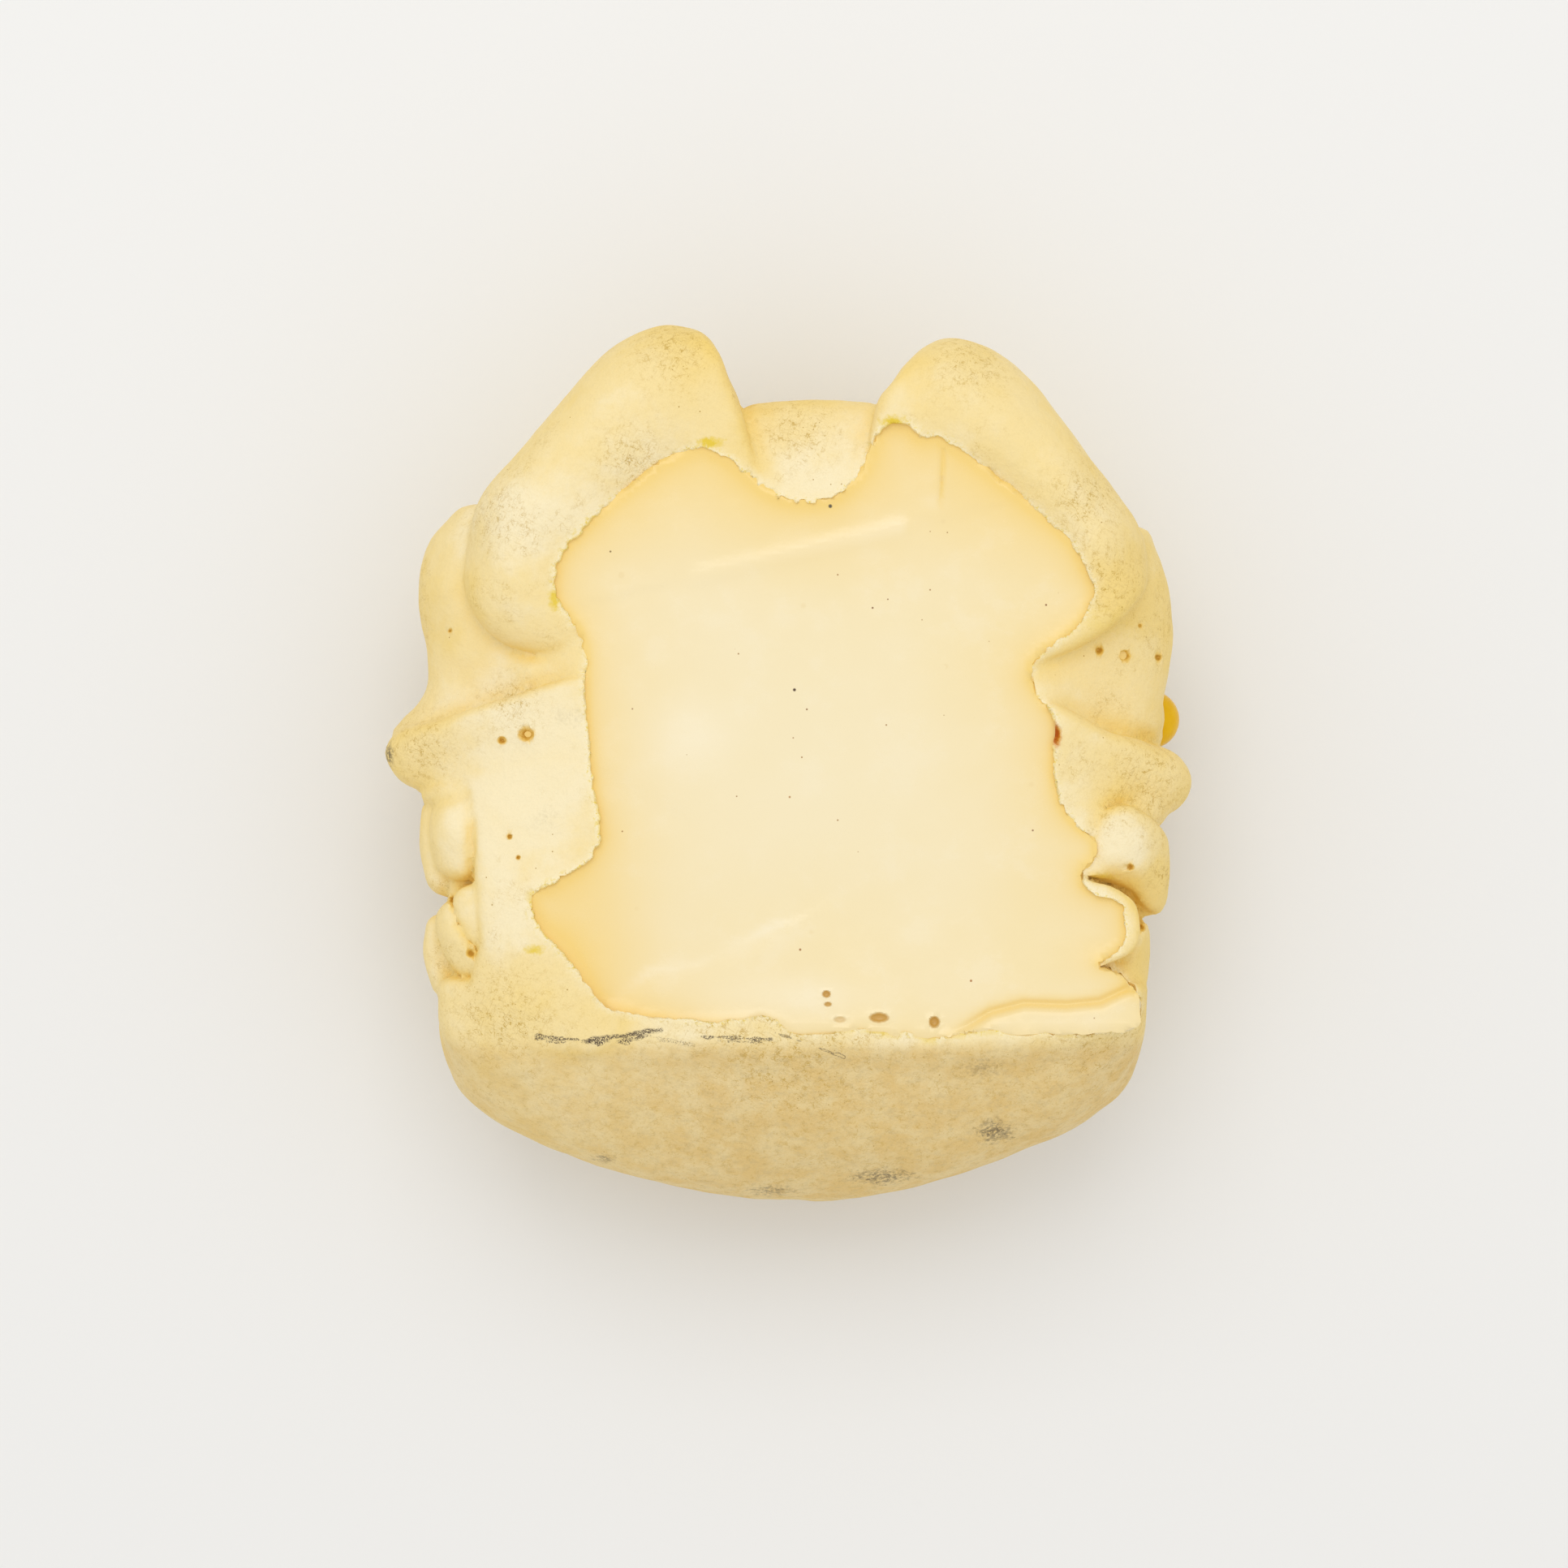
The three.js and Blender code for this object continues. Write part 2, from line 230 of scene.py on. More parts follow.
class Plan:
    """Signed distance in plan to a closed outline, negative inside, kept on a fine table."""

    def __init__(self, points, per_span=4, step=0.4, margin=14.0):
        outline = catmull(points, per_span, closed=True)[:, :2]
        self.step = step
        self.x0, self.y0 = outline.min(0) - margin
        x1, y1 = outline.max(0) + margin
        x, y = np.meshgrid(np.arange(self.x0, x1, step), np.arange(self.y0, y1, step), indexing="ij")
        near = np.full(x.shape, 1e9)
        inside = np.zeros(x.shape, bool)
        for a, b in zip(outline, np.roll(outline, -1, 0)):
            d = b - a
            t = np.clip(((x - a[0]) * d[0] + (y - a[1]) * d[1]) / (d @ d), 0, 1)
            near = np.minimum(near, (x - a[0] - t * d[0]) ** 2 + (y - a[1] - t * d[1]) ** 2)
            crosses = (a[1] > y) != (b[1] > y)
            inside ^= crosses & (x < a[0] + (y - a[1]) * d[0] / (d[1] if abs(d[1]) > 1e-9 else 1e-9))
        self.table = np.where(inside, -1, 1) * np.sqrt(near)
        self.lo, self.hi = outline.min(0), outline.max(0)

    def at(self, x, y):
        u = np.clip((x - self.x0) / self.step, 0, self.table.shape[0] - 1.001)
        v = np.clip((y - self.y0) / self.step, 0, self.table.shape[1] - 1.001)
        i, j = u.astype(int), v.astype(int)
        u, v = u - i, v - j
        t = self.table
        near_row = t[i, j] * (1 - u) + t[i + 1, j] * u
        far_row = t[i, j + 1] * (1 - u) + t[i + 1, j + 1] * u
        return near_row * (1 - v) + far_row * v


class Relief:
    """Smooth surface drawn through a few set heights (x, y, z), as a thin sheet bends."""

    def __init__(self, *heights):
        p = np.array(heights, float)
        self.points = p[:, :2]
        n = len(p)
        a = np.zeros((n + 3, n + 3))
        a[:n, :n] = self.bend(p[:, None, 0] - p[None, :, 0], p[:, None, 1] - p[None, :, 1])
        a[:n, n], a[:n, n + 1:] = 1, p[:, :2]
        a[n:, :n] = a[:n, n:].T
        self.weights = np.linalg.solve(a, np.append(p[:, 2], [0, 0, 0]))

    @staticmethod
    def bend(dx, dy):
        r2 = dx * dx + dy * dy
        return r2 * np.log(r2 + 1e-9)

    def at(self, x, y):
        w = self.weights
        z = w[-3] + w[-2] * x + w[-1] * y
        for (px, py), k in zip(self.points, w):
            z = z + k * self.bend(x - px, y - py)
        return z


class Slab(Form):
    """Mass with an outline in plan and a shaped top. Below its widest height the outline draws in."""

    def __init__(self, outline, top, edge=6, widest=62, floor=40, draw=12, blend=4):
        self.plan = Plan(outline, step=0.6)
        super().__init__(blend, (*self.plan.lo, floor), (*self.plan.hi, 84))
        self.top, self.edge, self.widest, self.floor, self.draw = top, edge, widest, floor, draw

    def dist(self, x, y, z):
        depth = np.clip((self.widest - z) / (self.widest - self.floor), 0, 0.93)
        side = self.plan.at(x, y) + self.draw * (1 - np.sqrt(1 - depth ** 2))
        edge = self.edge(x, y) if callable(self.edge) else self.edge
        top = 0.92 * (z - self.top.at(x, y))
        return smooth_max(smooth_max(side, top, edge), self.floor - z, 3)


PLAN = Plan(RIM)


def edge_distance(x, y):
    """Distance in plan from the trimmed edge, with the nicks and tears of a hand cut."""
    ragged = 0.35 * lattice_noise(x, y, 0 * x, 1.7, 3) + 0.28 * lattice_noise(x, y, 0 * x, 0.8, 4)
    ragged = ragged + 0.8 * smooth_step(-y, 50, 55) * lattice_noise(x, y, 0 * x, 6, 5)
    return PLAN.at(x, y) + ragged


# ---------------------------------------------------------------- masses of the head

def bowl():
    rows = [(13, 13, 15, 2.4, 1, -5), (16, 26, 29, 2.4, 1, -4), (21, 39, 43, 2.4, 1, -3.5),
            (29, 50, 55, 2.4, 1, -3),
            (39, 58.5, 65, 2.4, 1, -2.5), (50, 61, 69, 2.4, 1, -2), (59, 57, 65, 2.5, 1, -2),
            (67, 49, 58, 2.6, 1, -2),
            (73, 43, 50, 2.8, 2, -1.5), (77, 38, 46, 3, 3, -1)]
    return [Stack(rows, blend=5)]


CHIN_TOP = Relief(
    (-73, -50, 70), (-70, -58, 71), (-66, -42, 75.5), (-58, -50, 78.4), (-52, -57, 78.6), (-46, -44, 80),
    (-34, -55, 80.8),
    (0, -57, 80.6), (36, -57, 80.8), (68, -57, 80.4), (72, -46, 80.2), (75, -52, 78.5), (0, -30, 80.4),
    (60, -30, 80.2),
)


class Chin(Stack):
    """The chin's stack, cut by two slants that meet in a blunt point, and capped by its own relief."""

    def dist(self, x, y, z):
        taper = 0.0045 * np.maximum(np.abs(z - 32), 0) ** 1.75
        slant = (-108.2 + 0.425 * np.sqrt(x * x + 400) + taper - y) / 1.08
        body = smooth_max(super().dist(x, y, z), slant, 7)
        beside_teeth = np.minimum(np.minimum(np.abs(x + 0.6 * smooth_step(-x, 0, 50)) - 63, z - 57), y + 46.5)
        body = smooth_max(body, beside_teeth, 2.5)
        body = body + 0.7 * lattice_noise(x, y, z, 19, 21) + 0.3 * lattice_noise(x, y, z, 8, 22)
        return smooth_max(body, 0.95 * (z - CHIN_TOP.at(x, y)), 3)


def chin():
    rows = [(-2, 24, 8, 2, 0, -74), (3, 43, 18, 2.2, 0, -73.5), (13, 60, 28, 2.3, 0, -69),
            (28, 71, 36, 2.4, 0.5, -63),
            (46, 75.4, 38.5, 2.55, 0.5, -56), (60, 75.2, 35, 2.7, 0.5, -50.5),
            (70, 74.8, 28.5, 3.1, 0.8, -46),
            (77, 73.8, 21.5, 3.8, 0.5, -42.8), (83, 72.2, 16, 4.6, 0.5, -42.8)]
    return [Chin(rows, blend=4)]


def brow_lobes():
    """Two broad bands that hang over the temples, and the saddle between their upper ends."""
    left = [(-10.8, 76), (-12.8, 80.5), (-14.7, 85.6), (-17.8, 90), (-22.4, 92.3), (-27, 93), (-32.8, 91.4),
            (-38.8, 87.6), (-45, 81.3), (-52, 73), (-58.5, 65.3), (-63.9, 59.5), (-66.8, 54.6), (-68.2, 49.4),
            (-68.9, 44.3), (-68.8, 38.6), (-67.4, 33.6), (-65, 29.4), (-61.5, 26), (-57.5, 23.8), (-52, 22.2),
            (-46, 21.6), (-39, 24), (-33, 38), (-30, 54), (-16, 58), (-5.5, 56), (-7.8, 66)]
    left_top = Relief(
        (-18, 66, 80), (-28, 64.5, 80.2), (-40, 53, 80), (-48, 43, 79.8), (-47, 32, 79.4), (-12.5, 77, 81),
        (-20, 82, 82.2),
        (-33, 77, 82), (-45, 66, 82.2), (-56, 54, 82.2), (-60, 42, 82), (-58, 33, 80.8), (-30, 88, 79),
        (-50, 74, 78.8),
        (-63, 60, 78.6), (-67, 42, 78), (-9, 62, 79.8), (-11, 69, 80.6), (-48, 29, 79.4), (-60, 29.5, 78.2),
        (-53, 24.4, 76.9), (-47, 23.4, 77.2))
    right = [(18.4, 75.1), (21.1, 79.2), (24.2, 84), (27.9, 87.9), (32.6, 90.3), (38, 90), (44.3, 87),
             (50.8, 81.5),
             (56.8, 74.5), (62.9, 67), (68, 60.2), (72.2, 54), (75, 49.2), (76.5, 44), (76, 37.4),
             (72, 32), (67.6, 27.8), (61, 23.9), (54.3, 21), (49.5, 18.4), (46, 26), (52, 40), (40, 56),
             (22, 60),
             (15.2, 58), (16.6, 66)]
    right_top = Relief(
        (17.8, 68, 80.2), (22, 70, 80.2), (31, 67, 80.3), (45, 57.5, 80.2), (58, 46, 80), (62, 36, 79.8),
        (56, 27, 79.5),
        (51, 20, 79.4), (22, 79, 81.4), (32, 80, 82), (45, 70, 82.2), (58, 58, 82.2), (66, 46, 81.6),
        (66, 36, 80.4),
        (60, 27, 79.6), (35, 86, 79.4), (52, 75, 78.8), (66, 58, 78.4), (73, 44, 77.4))
    saddle = [(-12, 70), (-9.5, 75), (-3.9, 76.4), (5.5, 77.1), (13.3, 76.7), (19.2, 75.5), (23, 68),
              (19, 50), (-11, 50)]
    saddle_top = Relief((3, 54, 79.8), (-6, 59, 79), (12, 60, 78.8), (3, 62, 77), (3, 70, 74.4),
                        (-7, 69, 75.5), (15, 69, 75.2),
                        (3, 76, 72.5), (-10, 75, 74), (18, 75, 74))

    def left_edge(x, y):
        return 14 - 10.5 * smooth_step(x, -24, -13) - 9.3 * smooth_step(-y, -46, -31)

    def right_edge(x, y):
        return 14 - 10.5 * smooth_step(-x, -30, -20) - 10.3 * smooth_step(-y, -44, -30)

    return [
        Slab(saddle, saddle_top, edge=7, widest=66, floor=30, draw=20, blend=3),
        Slab(left, left_top, edge=left_edge, widest=69, floor=34, draw=22, blend=1.0),
        Slab(right, right_top, edge=right_edge, widest=69, floor=34, draw=22, blend=1.0),
    ]


def forehead():
    return [
        Lump((3, 54, 42), (33, 22, 30), blend=6),
        Lump((-41, 57, 38), (28, 18, 39.5), turn=48, blend=6),
        Lump((42, 55.5, 38), (28, 18, 39.5), turn=-51, blend=6),
    ]


def temples():
    left = [(-68, 55.8), (-74.5, 52.5), (-79.4, 47.4), (-81.1, 40), (-80.6, 31), (-78.9, 22.6), (-78.5, 16.8),
            (-80.6, 12.6), (-84.4, 9.2), (-86.5, 5.4), (-80, 1), (-70, 1), (-55, 4), (-40, 8), (-36, 20),
            (-38, 38),
            (-50, 52)]
    left_top = Relief(
        (-42.7, 23.5, 79.4), (-42.2, 17, 79.8), (-48, 21, 76.8), (-54.5, 22.4, 72.6), (-63, 23.5, 69),
        (-71, 23.5, 65.4),
        (-75.3, 27, 61.8), (-45, 17, 78.6), (-51, 16.2, 75.2), (-60, 13.6, 71), (-67.3, 11.4, 67.6),
        (-75, 9.8, 65.2),
        (-80, 9.4, 63.5), (-83.4, 7, 62), (-60, 4, 70),
        (-73.6, 37, 64.5), (-68, 45, 66), (-60, 38, 67), (-55, 20, 74.4), (-62, 19, 69.6), (-70, 18, 65),
        (-76, 44, 60))
    right = [(75.4, 50.9), (79.7, 45.6), (83.2, 37), (84.5, 28), (83.7, 20.6), (81.8, 13), (80, 5), (70, 0),
             (58, 2),
             (48, 12), (46, 30), (58, 48)]
    right_top = Relief(
        (50.5, 19, 79.7), (54, 11, 79.8), (56.5, 16.7, 76), (62.4, 18.4, 72.2), (70.9, 18.4, 68),
        (77.7, 18.4, 63.5),
        (62.4, 26.5, 73.4), (72.6, 26.9, 68.4), (79, 28, 62), (58.5, 11.4, 75.2), (63.2, 8.4, 71.4),
        (67.5, 6, 68.8),
        (73.3, 4.8, 66), (78.4, 4, 62.8), (70, 36, 70), (76, 40, 65.5), (55.4, 20, 76))
    return [
        Lump((-59, 12, 36), (20, 15, 20), blend=5), Lump((62, 12, 35), (20, 15, 20), blend=5),
        Lump((-57, 32, 44), (20, 20, 24), blend=5), Lump((60, 28, 44), (20, 22, 25), blend=5),
        Slab(left, left_top, edge=11, widest=60, floor=26, draw=24, blend=4),
        Slab(right, right_top, edge=11, widest=60, floor=26, draw=24, blend=4),
    ]


LEFT_FACE = Relief(
    (-43, 15.5, 80.6), (-51, 13.6, 79.6), (-60, 10.4, 77.4), (-67.5, 7.4, 74.8), (-75, 5.6, 72),
    (-82, 4, 68), (-45, 6, 79.8),
    (-52, 3, 78.6), (-60, 1.6, 76), (-68, -1, 72.5), (-75, -3, 68.5), (-55, -9, 78), (-66, -12, 75.6),
    (-42, -5, 79.8),
    (-40, -18, 80), (-53, -20, 78.8), (-66, -25, 76.4), (-54, -32, 79.8), (-65, -38, 76.6), (-48, -44, 80.2),
    (-58, -48, 78.2), (-68, -50, 73.5), (-52, -55, 78.6),
)
RIGHT_FACE = Relief(
    (54.5, 9.6, 80.8), (59, 8.2, 79.8), (64, 5.4, 77.6), (69, 3, 75.2), (75, 0.6, 72.2), (81, -2.6, 68.6),
    (85, -4.4, 65),
    (57, 0, 80), (57, -6, 79.6), (60, -12, 79), (63, -16, 78.6), (62, -3, 77.8), (68, -5, 74.6),
    (75, -7, 69.8),
)


def cheekbones():
    """Sharp-browed bones that run out to the two side tips, each with the flat of the face below it."""
    left = [(-86.9, 1.2), (-85.8, 4.6), (-83.2, 6.8), (-79, 8.2), (-74.5, 9), (-68, 10.8), (-60, 13.2),
            (-51, 16.2),
            (-43, 18.2), (-36, 16), (-36, -13), (-56, -15), (-65.4, -9), (-69, -6.6), (-75, -6.4),
            (-79.6, -5.8),
            (-84.4, -3)]
    right = [(53, 12), (59.5, 10.6), (63.5, 8.4), (67.8, 6.4), (73.5, 5.2), (78.8, 3.2), (83.2, 0.6),
             (86.4, -3.2), (86.3, -6.8),
             (83.6, -9.8), (79.4, -11.6), (75, -11), (70.5, -9.6), (66.6, -10.2), (64.2, -13),
             (63.9, -17.4), (60, -18),
             (50, -14), (48, 0)]

    def left_edge(x, y):
        return 2.5 + 4.5 * smooth_step(-x, 66, 80)

    def right_edge(x, y):
        return 3.5 + 4.5 * smooth_step(x, 68, 80)

    return [
        Slab(left, LEFT_FACE, edge=left_edge, widest=63, floor=44, draw=13, blend=0.8),
        Slab(right, RIGHT_FACE, edge=right_edge, widest=63, floor=44, draw=13, blend=0.8),
        Roll([(-78, 1.5, 58, 6), (-71, -1, 40, 10), (-53, -2, 22, 11.5), (-32, 2, 12, 10)], blend=4),
        Roll([(78, -3.5, 58, 6), (71, -3, 40, 10), (53, -2, 22, 11.5), (32, 2, 12, 10)], blend=4),
        Roll([(-69.5, -6.6, 69, 2.8), (-73, -6.6, 67, 3), (-76, -6.8, 63, 2.8)], blend=1),
        Roll([(68, -10, 69, 3.2), (73.5, -10.6, 66, 4.2), (76.8, -10.8, 61, 3.6)], blend=1.5),
    ]


def jaw_sides():
    left = [(-66.6, -2), (-67, -14), (-66.4, -28), (-65.4, -38), (-66.8, -47), (-60, -58), (-36, -58),
            (-34, -4)]
    gum = [(46, 12, 24, 3, -62, -27), (62, 11, 23, 3.4, -62, -27), (67, 10, 22, 4, -62, -27)]
    gum_right = [(46, 12, 19, 3, 62, -26), (60, 11.6, 19, 3.4, 62, -26), (66, 9.5, 18, 4, 62, -26)]
    return [
        Stack(gum, blend=3), Stack(gum_right, blend=3),
        Slab(left, LEFT_FACE, edge=2.6, widest=60, floor=30, draw=6, blend=1.2),
    ]


def brow_ridge():
    half = [(22, 27, 10, 9), (46, 33, 14, 10.5), (66, 25, 27, 8)]
    line = [(-x, y, z, r) for x, y, z, r in half[::-1]] + [(0, 31, 12, 9)] + half
    return [Roll(line, blend=5)]


def nose():
    return [Roll([(0, 46, 22, 10), (0, 30, 12, 9.5), (0, 14, 10, 8)], blend=5),
            Lump((0, 5, 16), (20, 14, 12), blend=5)]


TEETH = 12


def tooth_rows():
    forms = []
    for i in range(TEETH):
        angle = math.pi * (0.015 + 0.97 * i / (TEETH - 1))
        mid = 1 - abs(2 * i / (TEETH - 1) - 1)
        x, z = 69 * math.cos(angle), 60 - 49 * math.sin(angle)
        for y0, y1, r in ((-21, -15 + 4 * mid, 7.8 + 0.7 * mid), (-35, -44, 7.4 + 0.6 * mid)):
            tooth = [(x, y0, z, r * 0.88), (x * 1.01, (y0 + y1) / 2, z, r), (x, y1, z, r * 0.82)]
            forms.append(Roll(tooth, blend=0.8, per_span=2))
    return forms


def back_teeth():
    """Last teeth of each row, where the rows come up to the trimmed edge."""
    crown = [(64.6, -12.4), (67.6, -9.6), (72, -9.4), (76, -11.8), (79.4, -15), (80.8, -19), (80.6, -26),
             (80, -31),
             (77.2, -33.2), (73.6, -32.6), (71.2, -29.4), (68, -26.4), (64.4, -25), (64, -18)]
    crown_top = Relief((66, -14, 78), (66, -22, 77.6), (71, -12, 77.6), (72, -20, 77), (75, -16, 75.6),
                       (79, -20, 69.5),
                       (78, -27, 68.5), (66, -25, 75.5), (70, -26, 73), (75, -31, 67), (74.6, -23, 74.4))
    wall = [(60.4, -23.4), (63.6, -25), (67.6, -26), (71.6, -28.6), (73.2, -31.2), (73.6, -35.4),
            (72.6, -39), (70, -41.2),
            (64.2, -43.2), (66, -40), (67, -36), (66, -31), (62, -29), (59, -27)]
    lower = [(64, -42), (70, -40.6), (73, -36), (75.8, -34.4), (76.8, -38.6), (76.6, -43), (75.4, -47.5),
             (70, -50), (64, -47)]
    lower_top = Relief((65, -43.4, 78), (70, -43, 74.5), (74, -38, 73.5), (76, -38, 70),
                       (75.8, -43.6, 68.5), (71, -48, 78.6))
    upper_left = [(-66.3, -7.4), (-69.6, -6.2), (-73.4, -6.8), (-76, -9.6), (-76.8, -14), (-76.4, -19),
                  (-74.8, -23.2),
                  (-71.4, -25.4), (-68, -25.2), (-66, -22), (-66, -14)]
    inner_left = [(-65.2, -26), (-69, -26.4), (-71, -28.6), (-70.6, -32.4), (-68.6, -36.6), (-66.4, -39.2),
                  (-64.8, -39),
                  (-64.4, -32)]
    lower_left = [(-71.8, -29.6), (-74.6, -31.6), (-75.2, -35), (-73.8, -39.8), (-71.4, -43.6),
                  (-68.6, -45.8),
                  (-66, -44.8), (-65.6, -41), (-67.4, -38), (-69.8, -34.4)]
    web = [(57, -8), (66.5, -9), (67, -24.8), (60, -25)]
    return [
        Slab(web, Relief((58, -10, 77.4), (66, -10, 76.4), (66, -24, 77.4), (60, -24, 78.6)), edge=3,
             widest=60, floor=50, draw=2,
             blend=1.5),
        Slab(upper_left, Relief((-66.8, -9, 74), (-66.8, -22, 74), (-71.5, -15, 74.6), (-75.6, -10, 71),
                                (-75.4, -20, 71)),
             edge=4.5, widest=66, floor=52, draw=5, blend=0.3),
        Roll([(-74, -11.6, 60.5, 5), (-74.2, -17.5, 60.5, 5.2), (-73.2, -23.8, 60.5, 5.1)], blend=0.4),
        Slab(inner_left, Relief((-65.6, -28, 75.2), (-65.4, -37, 75), (-69.8, -28.6, 74), (-68, -35, 74.2)),
             edge=2.6, widest=66,
             floor=52, draw=4, blend=0.3),
        Slab(lower_left, Relief((-73.8, -32, 70.6), (-66.4, -43, 73.6), (-71, -36, 73.4), (-72.6, -40, 71)),
             edge=3, widest=64,
             floor=52, draw=4, blend=0.3),
        Roll([(-74.6, -36, 59, 3.7), (-74.4, -41, 59, 4.2), (-72.7, -46.4, 59, 4.4)], blend=0.4),
        Slab(lower, lower_top, edge=5, widest=62, floor=44, draw=8, blend=1),
        Slab(crown, crown_top, edge=3, widest=60, floor=44, draw=8, blend=0.5),
        Slab(wall, Relief((61, -24, 80.2), (70, -29, 80.2), (72, -36, 80.2), (66, -41, 80)), edge=1.6,
             widest=60, floor=50,
             draw=2, blend=0.6),
    ]


def hollows():
    forms = [Lump((s * 8, 9, 4), (5.5, 12, 9), turn=s * 20, blend=2, cut=True) for s in (-1, 1)]
    forms += [Lump((s * 50, 14, 9), (19, 9.5, 11), turn=-s * 9, blend=3, cut=True) for s in (-1, 1)]
    groove = [(62.6, -24.6, 76, 0.5), (66.6, -25.6, 74, 0.9), (71.8, -28, 71, 1.3), (74.4, -31.4, 67, 1.4),
              (79, -34.6, 62, 1.6)]
    forms.append(Roll(groove, blend=0.8, flat=4.0, cut=True))
    for x, y, z in EYES.values():
        forms.append(Lump((x, y, z), (EYE_R + 0.25,) * 3, blend=0.6, cut=True))
    return forms


def eyelids():
    forms = []
    for x, y, z in EYES.values():
        side = math.copysign(1, x)
        ring = []
        for t in np.linspace(0, 2 * math.pi, 13):
            across = 6.6 * math.cos(t)
            ring.append((x - side * 3 + side * across * 0.45, y + 7.2 * math.sin(t), z + 1 + across * 0.9,
                         2.6))
        forms.append(Roll(ring, blend=1.5, per_span=2))
    return forms


FORMS = (bowl() + chin() + forehead() + temples() + brow_ridge() + nose() + jaw_sides() + cheekbones()
         + brow_lobes()
         + tooth_rows() + back_teeth() + eyelids() + hollows())


def line_distance(x, y, points):
    """Distance in plan from a broken line, and which side of it a point is on (positive to its left)."""
    near, side = np.full(np.shape(x), 1e9), np.zeros(np.shape(x))
    for a, b in zip(np.array(points[:-1], float), np.array(points[1:], float)):
        d = b - a
        t = np.clip(((x - a[0]) * d[0] + (y - a[1]) * d[1]) / (d @ d), 0, 1)
        r = np.hypot(x - a[0] - t * d[0], y - a[1] - t * d[1])
        s = np.sign(d[0] * (y - a[1]) - d[1] * (x - a[0]))
        side = np.where(r < near - 1e-6, s, side)
        near = np.minimum(near, r)
    return near, side


POUR_RIDGE = [(-20.9, 38.4), (0, 43.5), (23.3, 49)]
FLOW_EDGE = [(-35, -50), (-29, -45.2), (-19, -43.8), (-10, -39.5), (-2, -35)]
OVERFLOW_LIP = [(33, -57), (37, -55.3), (42, -52.4), (49, -50.6), (58, -50.9), (65, -50.2), (73, -46.5)]
SIDE_DENT = [(-38, -2), (-26, -9)]
WRINKLE = [(32.3, 67), (31.8, 54)]


def bulge(distance, reach):
    """One at the middle, and nothing well beyond the reach."""
    return np.exp(-(distance / reach) ** 2)


def fill_height(x, y):
    """Height of the poured back: nearly flat, with low pour marks and an overflow along the chin."""
    z = FILL_Z + 0.22 * lattice_noise(x, y, 0 * x, 34, 11) + 0.06 * lattice_noise(x, y, 0 * x, 12, 12)
    inside = np.minimum(PLAN.at(x, y), 0)
    z = z + 0.35 * np.exp(inside / 0.8) + 0.3 * np.exp(inside / 6)
    near, side = line_distance(x, y, POUR_RIDGE)
    z = z + 0.44 * smooth_step(x, -25, -16) * bulge(near, 2.0)
    z = z + 0.15 * np.where(side > 0, 1 - bulge(near, 3), 0)
    near, side = line_distance(x, y, FLOW_EDGE)
    z = z - side * 0.12 * (1 - bulge(near, 1.5)) * bulge(near, 14)
    z = z + 2.0 * smooth_step(-y, 26, 62) * smooth_step(x, -38, 10)
    near, side = line_distance(x, y, OVERFLOW_LIP)
    lip = np.where(side < 0, 0.9 * smooth_step(near, -0.1, 2.2), 0) - 0.6 * bulge(near, 0.8)
    z = z + lip * smooth_step(x, 31, 40) * smooth_step(-y, 42, 47)
    near, side = line_distance(x, y, SIDE_DENT)
    z = z + 0.1 * side * (1 - bulge(near, 1.2)) * bulge(near, 5)
    near, side = line_distance(x, y, WRINKLE)
    return z - 0.3 * bulge(near, 0.5) + 0.25 * bulge(near - 1.2, 1.2) * smooth_step(y, 50, 60)


def outer(x, y, z):
    """The whole outside of the head, as if it were solid."""
    return combine(FORMS, x, y, z)


def hollow(skin, x, y, z):
    """The space inside the wall, with the opening that the trimmed edge leaves."""
    opening = np.maximum(edge_distance(x, y), OPENING_Z - z)
    return np.minimum(skin + WALL, opening)


def shell_field(x, y, z):
    skin = outer(x, y, z)
    return np.maximum(np.maximum(skin, -hollow(skin, x, y, z)), -z)


def fill_field(x, y, z):
    """The pour: it fills the hollow and runs a little way into the wall, but never through it."""
    skin = outer(x, y, z)
    void = hollow(skin, x, y, z)
    body = np.minimum(void - 0.4, np.maximum(void - GRIP, skin + COVER))
    return np.maximum(np.maximum(body, z - fill_height(x, y)), FILL_BASE_Z - z)


# ---------------------------------------------------------------- from field to mesh

def mesh_field(field):
    """Points and four-sided faces where the field is zero."""
    lo, hi = np.array([-92.0, -102.0, -4.0]), np.array([92.0, 98.0, 88.0])
    axes = [np.arange(lo[i], hi[i] + CELL, CELL) for i in range(3)]
    x, y, z = np.meshgrid(*axes, indexing="ij", sparse=True)
    grid = vdb.FloatGrid(10.0)
    grid.copyFromArray(np.clip(field(x, y, z), -10, 10).astype(np.float32))
    points, quads = grid.convertToQuads(isovalue=0.0)
    return points.astype(float) * CELL + lo, quads


def settle(points, field, rounds=2, reach=0.6):
    """Draws every point onto the exact surface of the field."""
    e = 0.15
    for _ in range(rounds):
        x, y, z = points.T.copy()
        f = field(x, y, z)
        g = np.stack([field(x + e, y, z) - f, field(x, y + e, z) - f, field(x, y, z + e) - f], 1) / e
        step = f[:, None] * g / np.maximum((g * g).sum(1), 0.2)[:, None]
        length = np.linalg.norm(step, axis=1, keepdims=True)
        points = points - step * np.minimum(1, reach / np.maximum(length, 1e-9))
    return points


def make_object(name, points, faces):
    mesh = bpy.data.meshes.new(name)
    mesh.from_pydata(((points + SHIFT) * MM).tolist(), [], faces.tolist())
    mesh.validate()
    obj = bpy.data.objects.new(name, mesh)
    bpy.context.collection.objects.link(obj)
    b = bmesh.new()
    b.from_mesh(mesh)
    bmesh.ops.recalc_face_normals(b, faces=b.faces)
    b.to_mesh(mesh)
    b.free()
    mesh.polygons.foreach_set("use_smooth", [True] * len(mesh.polygons))
    return obj


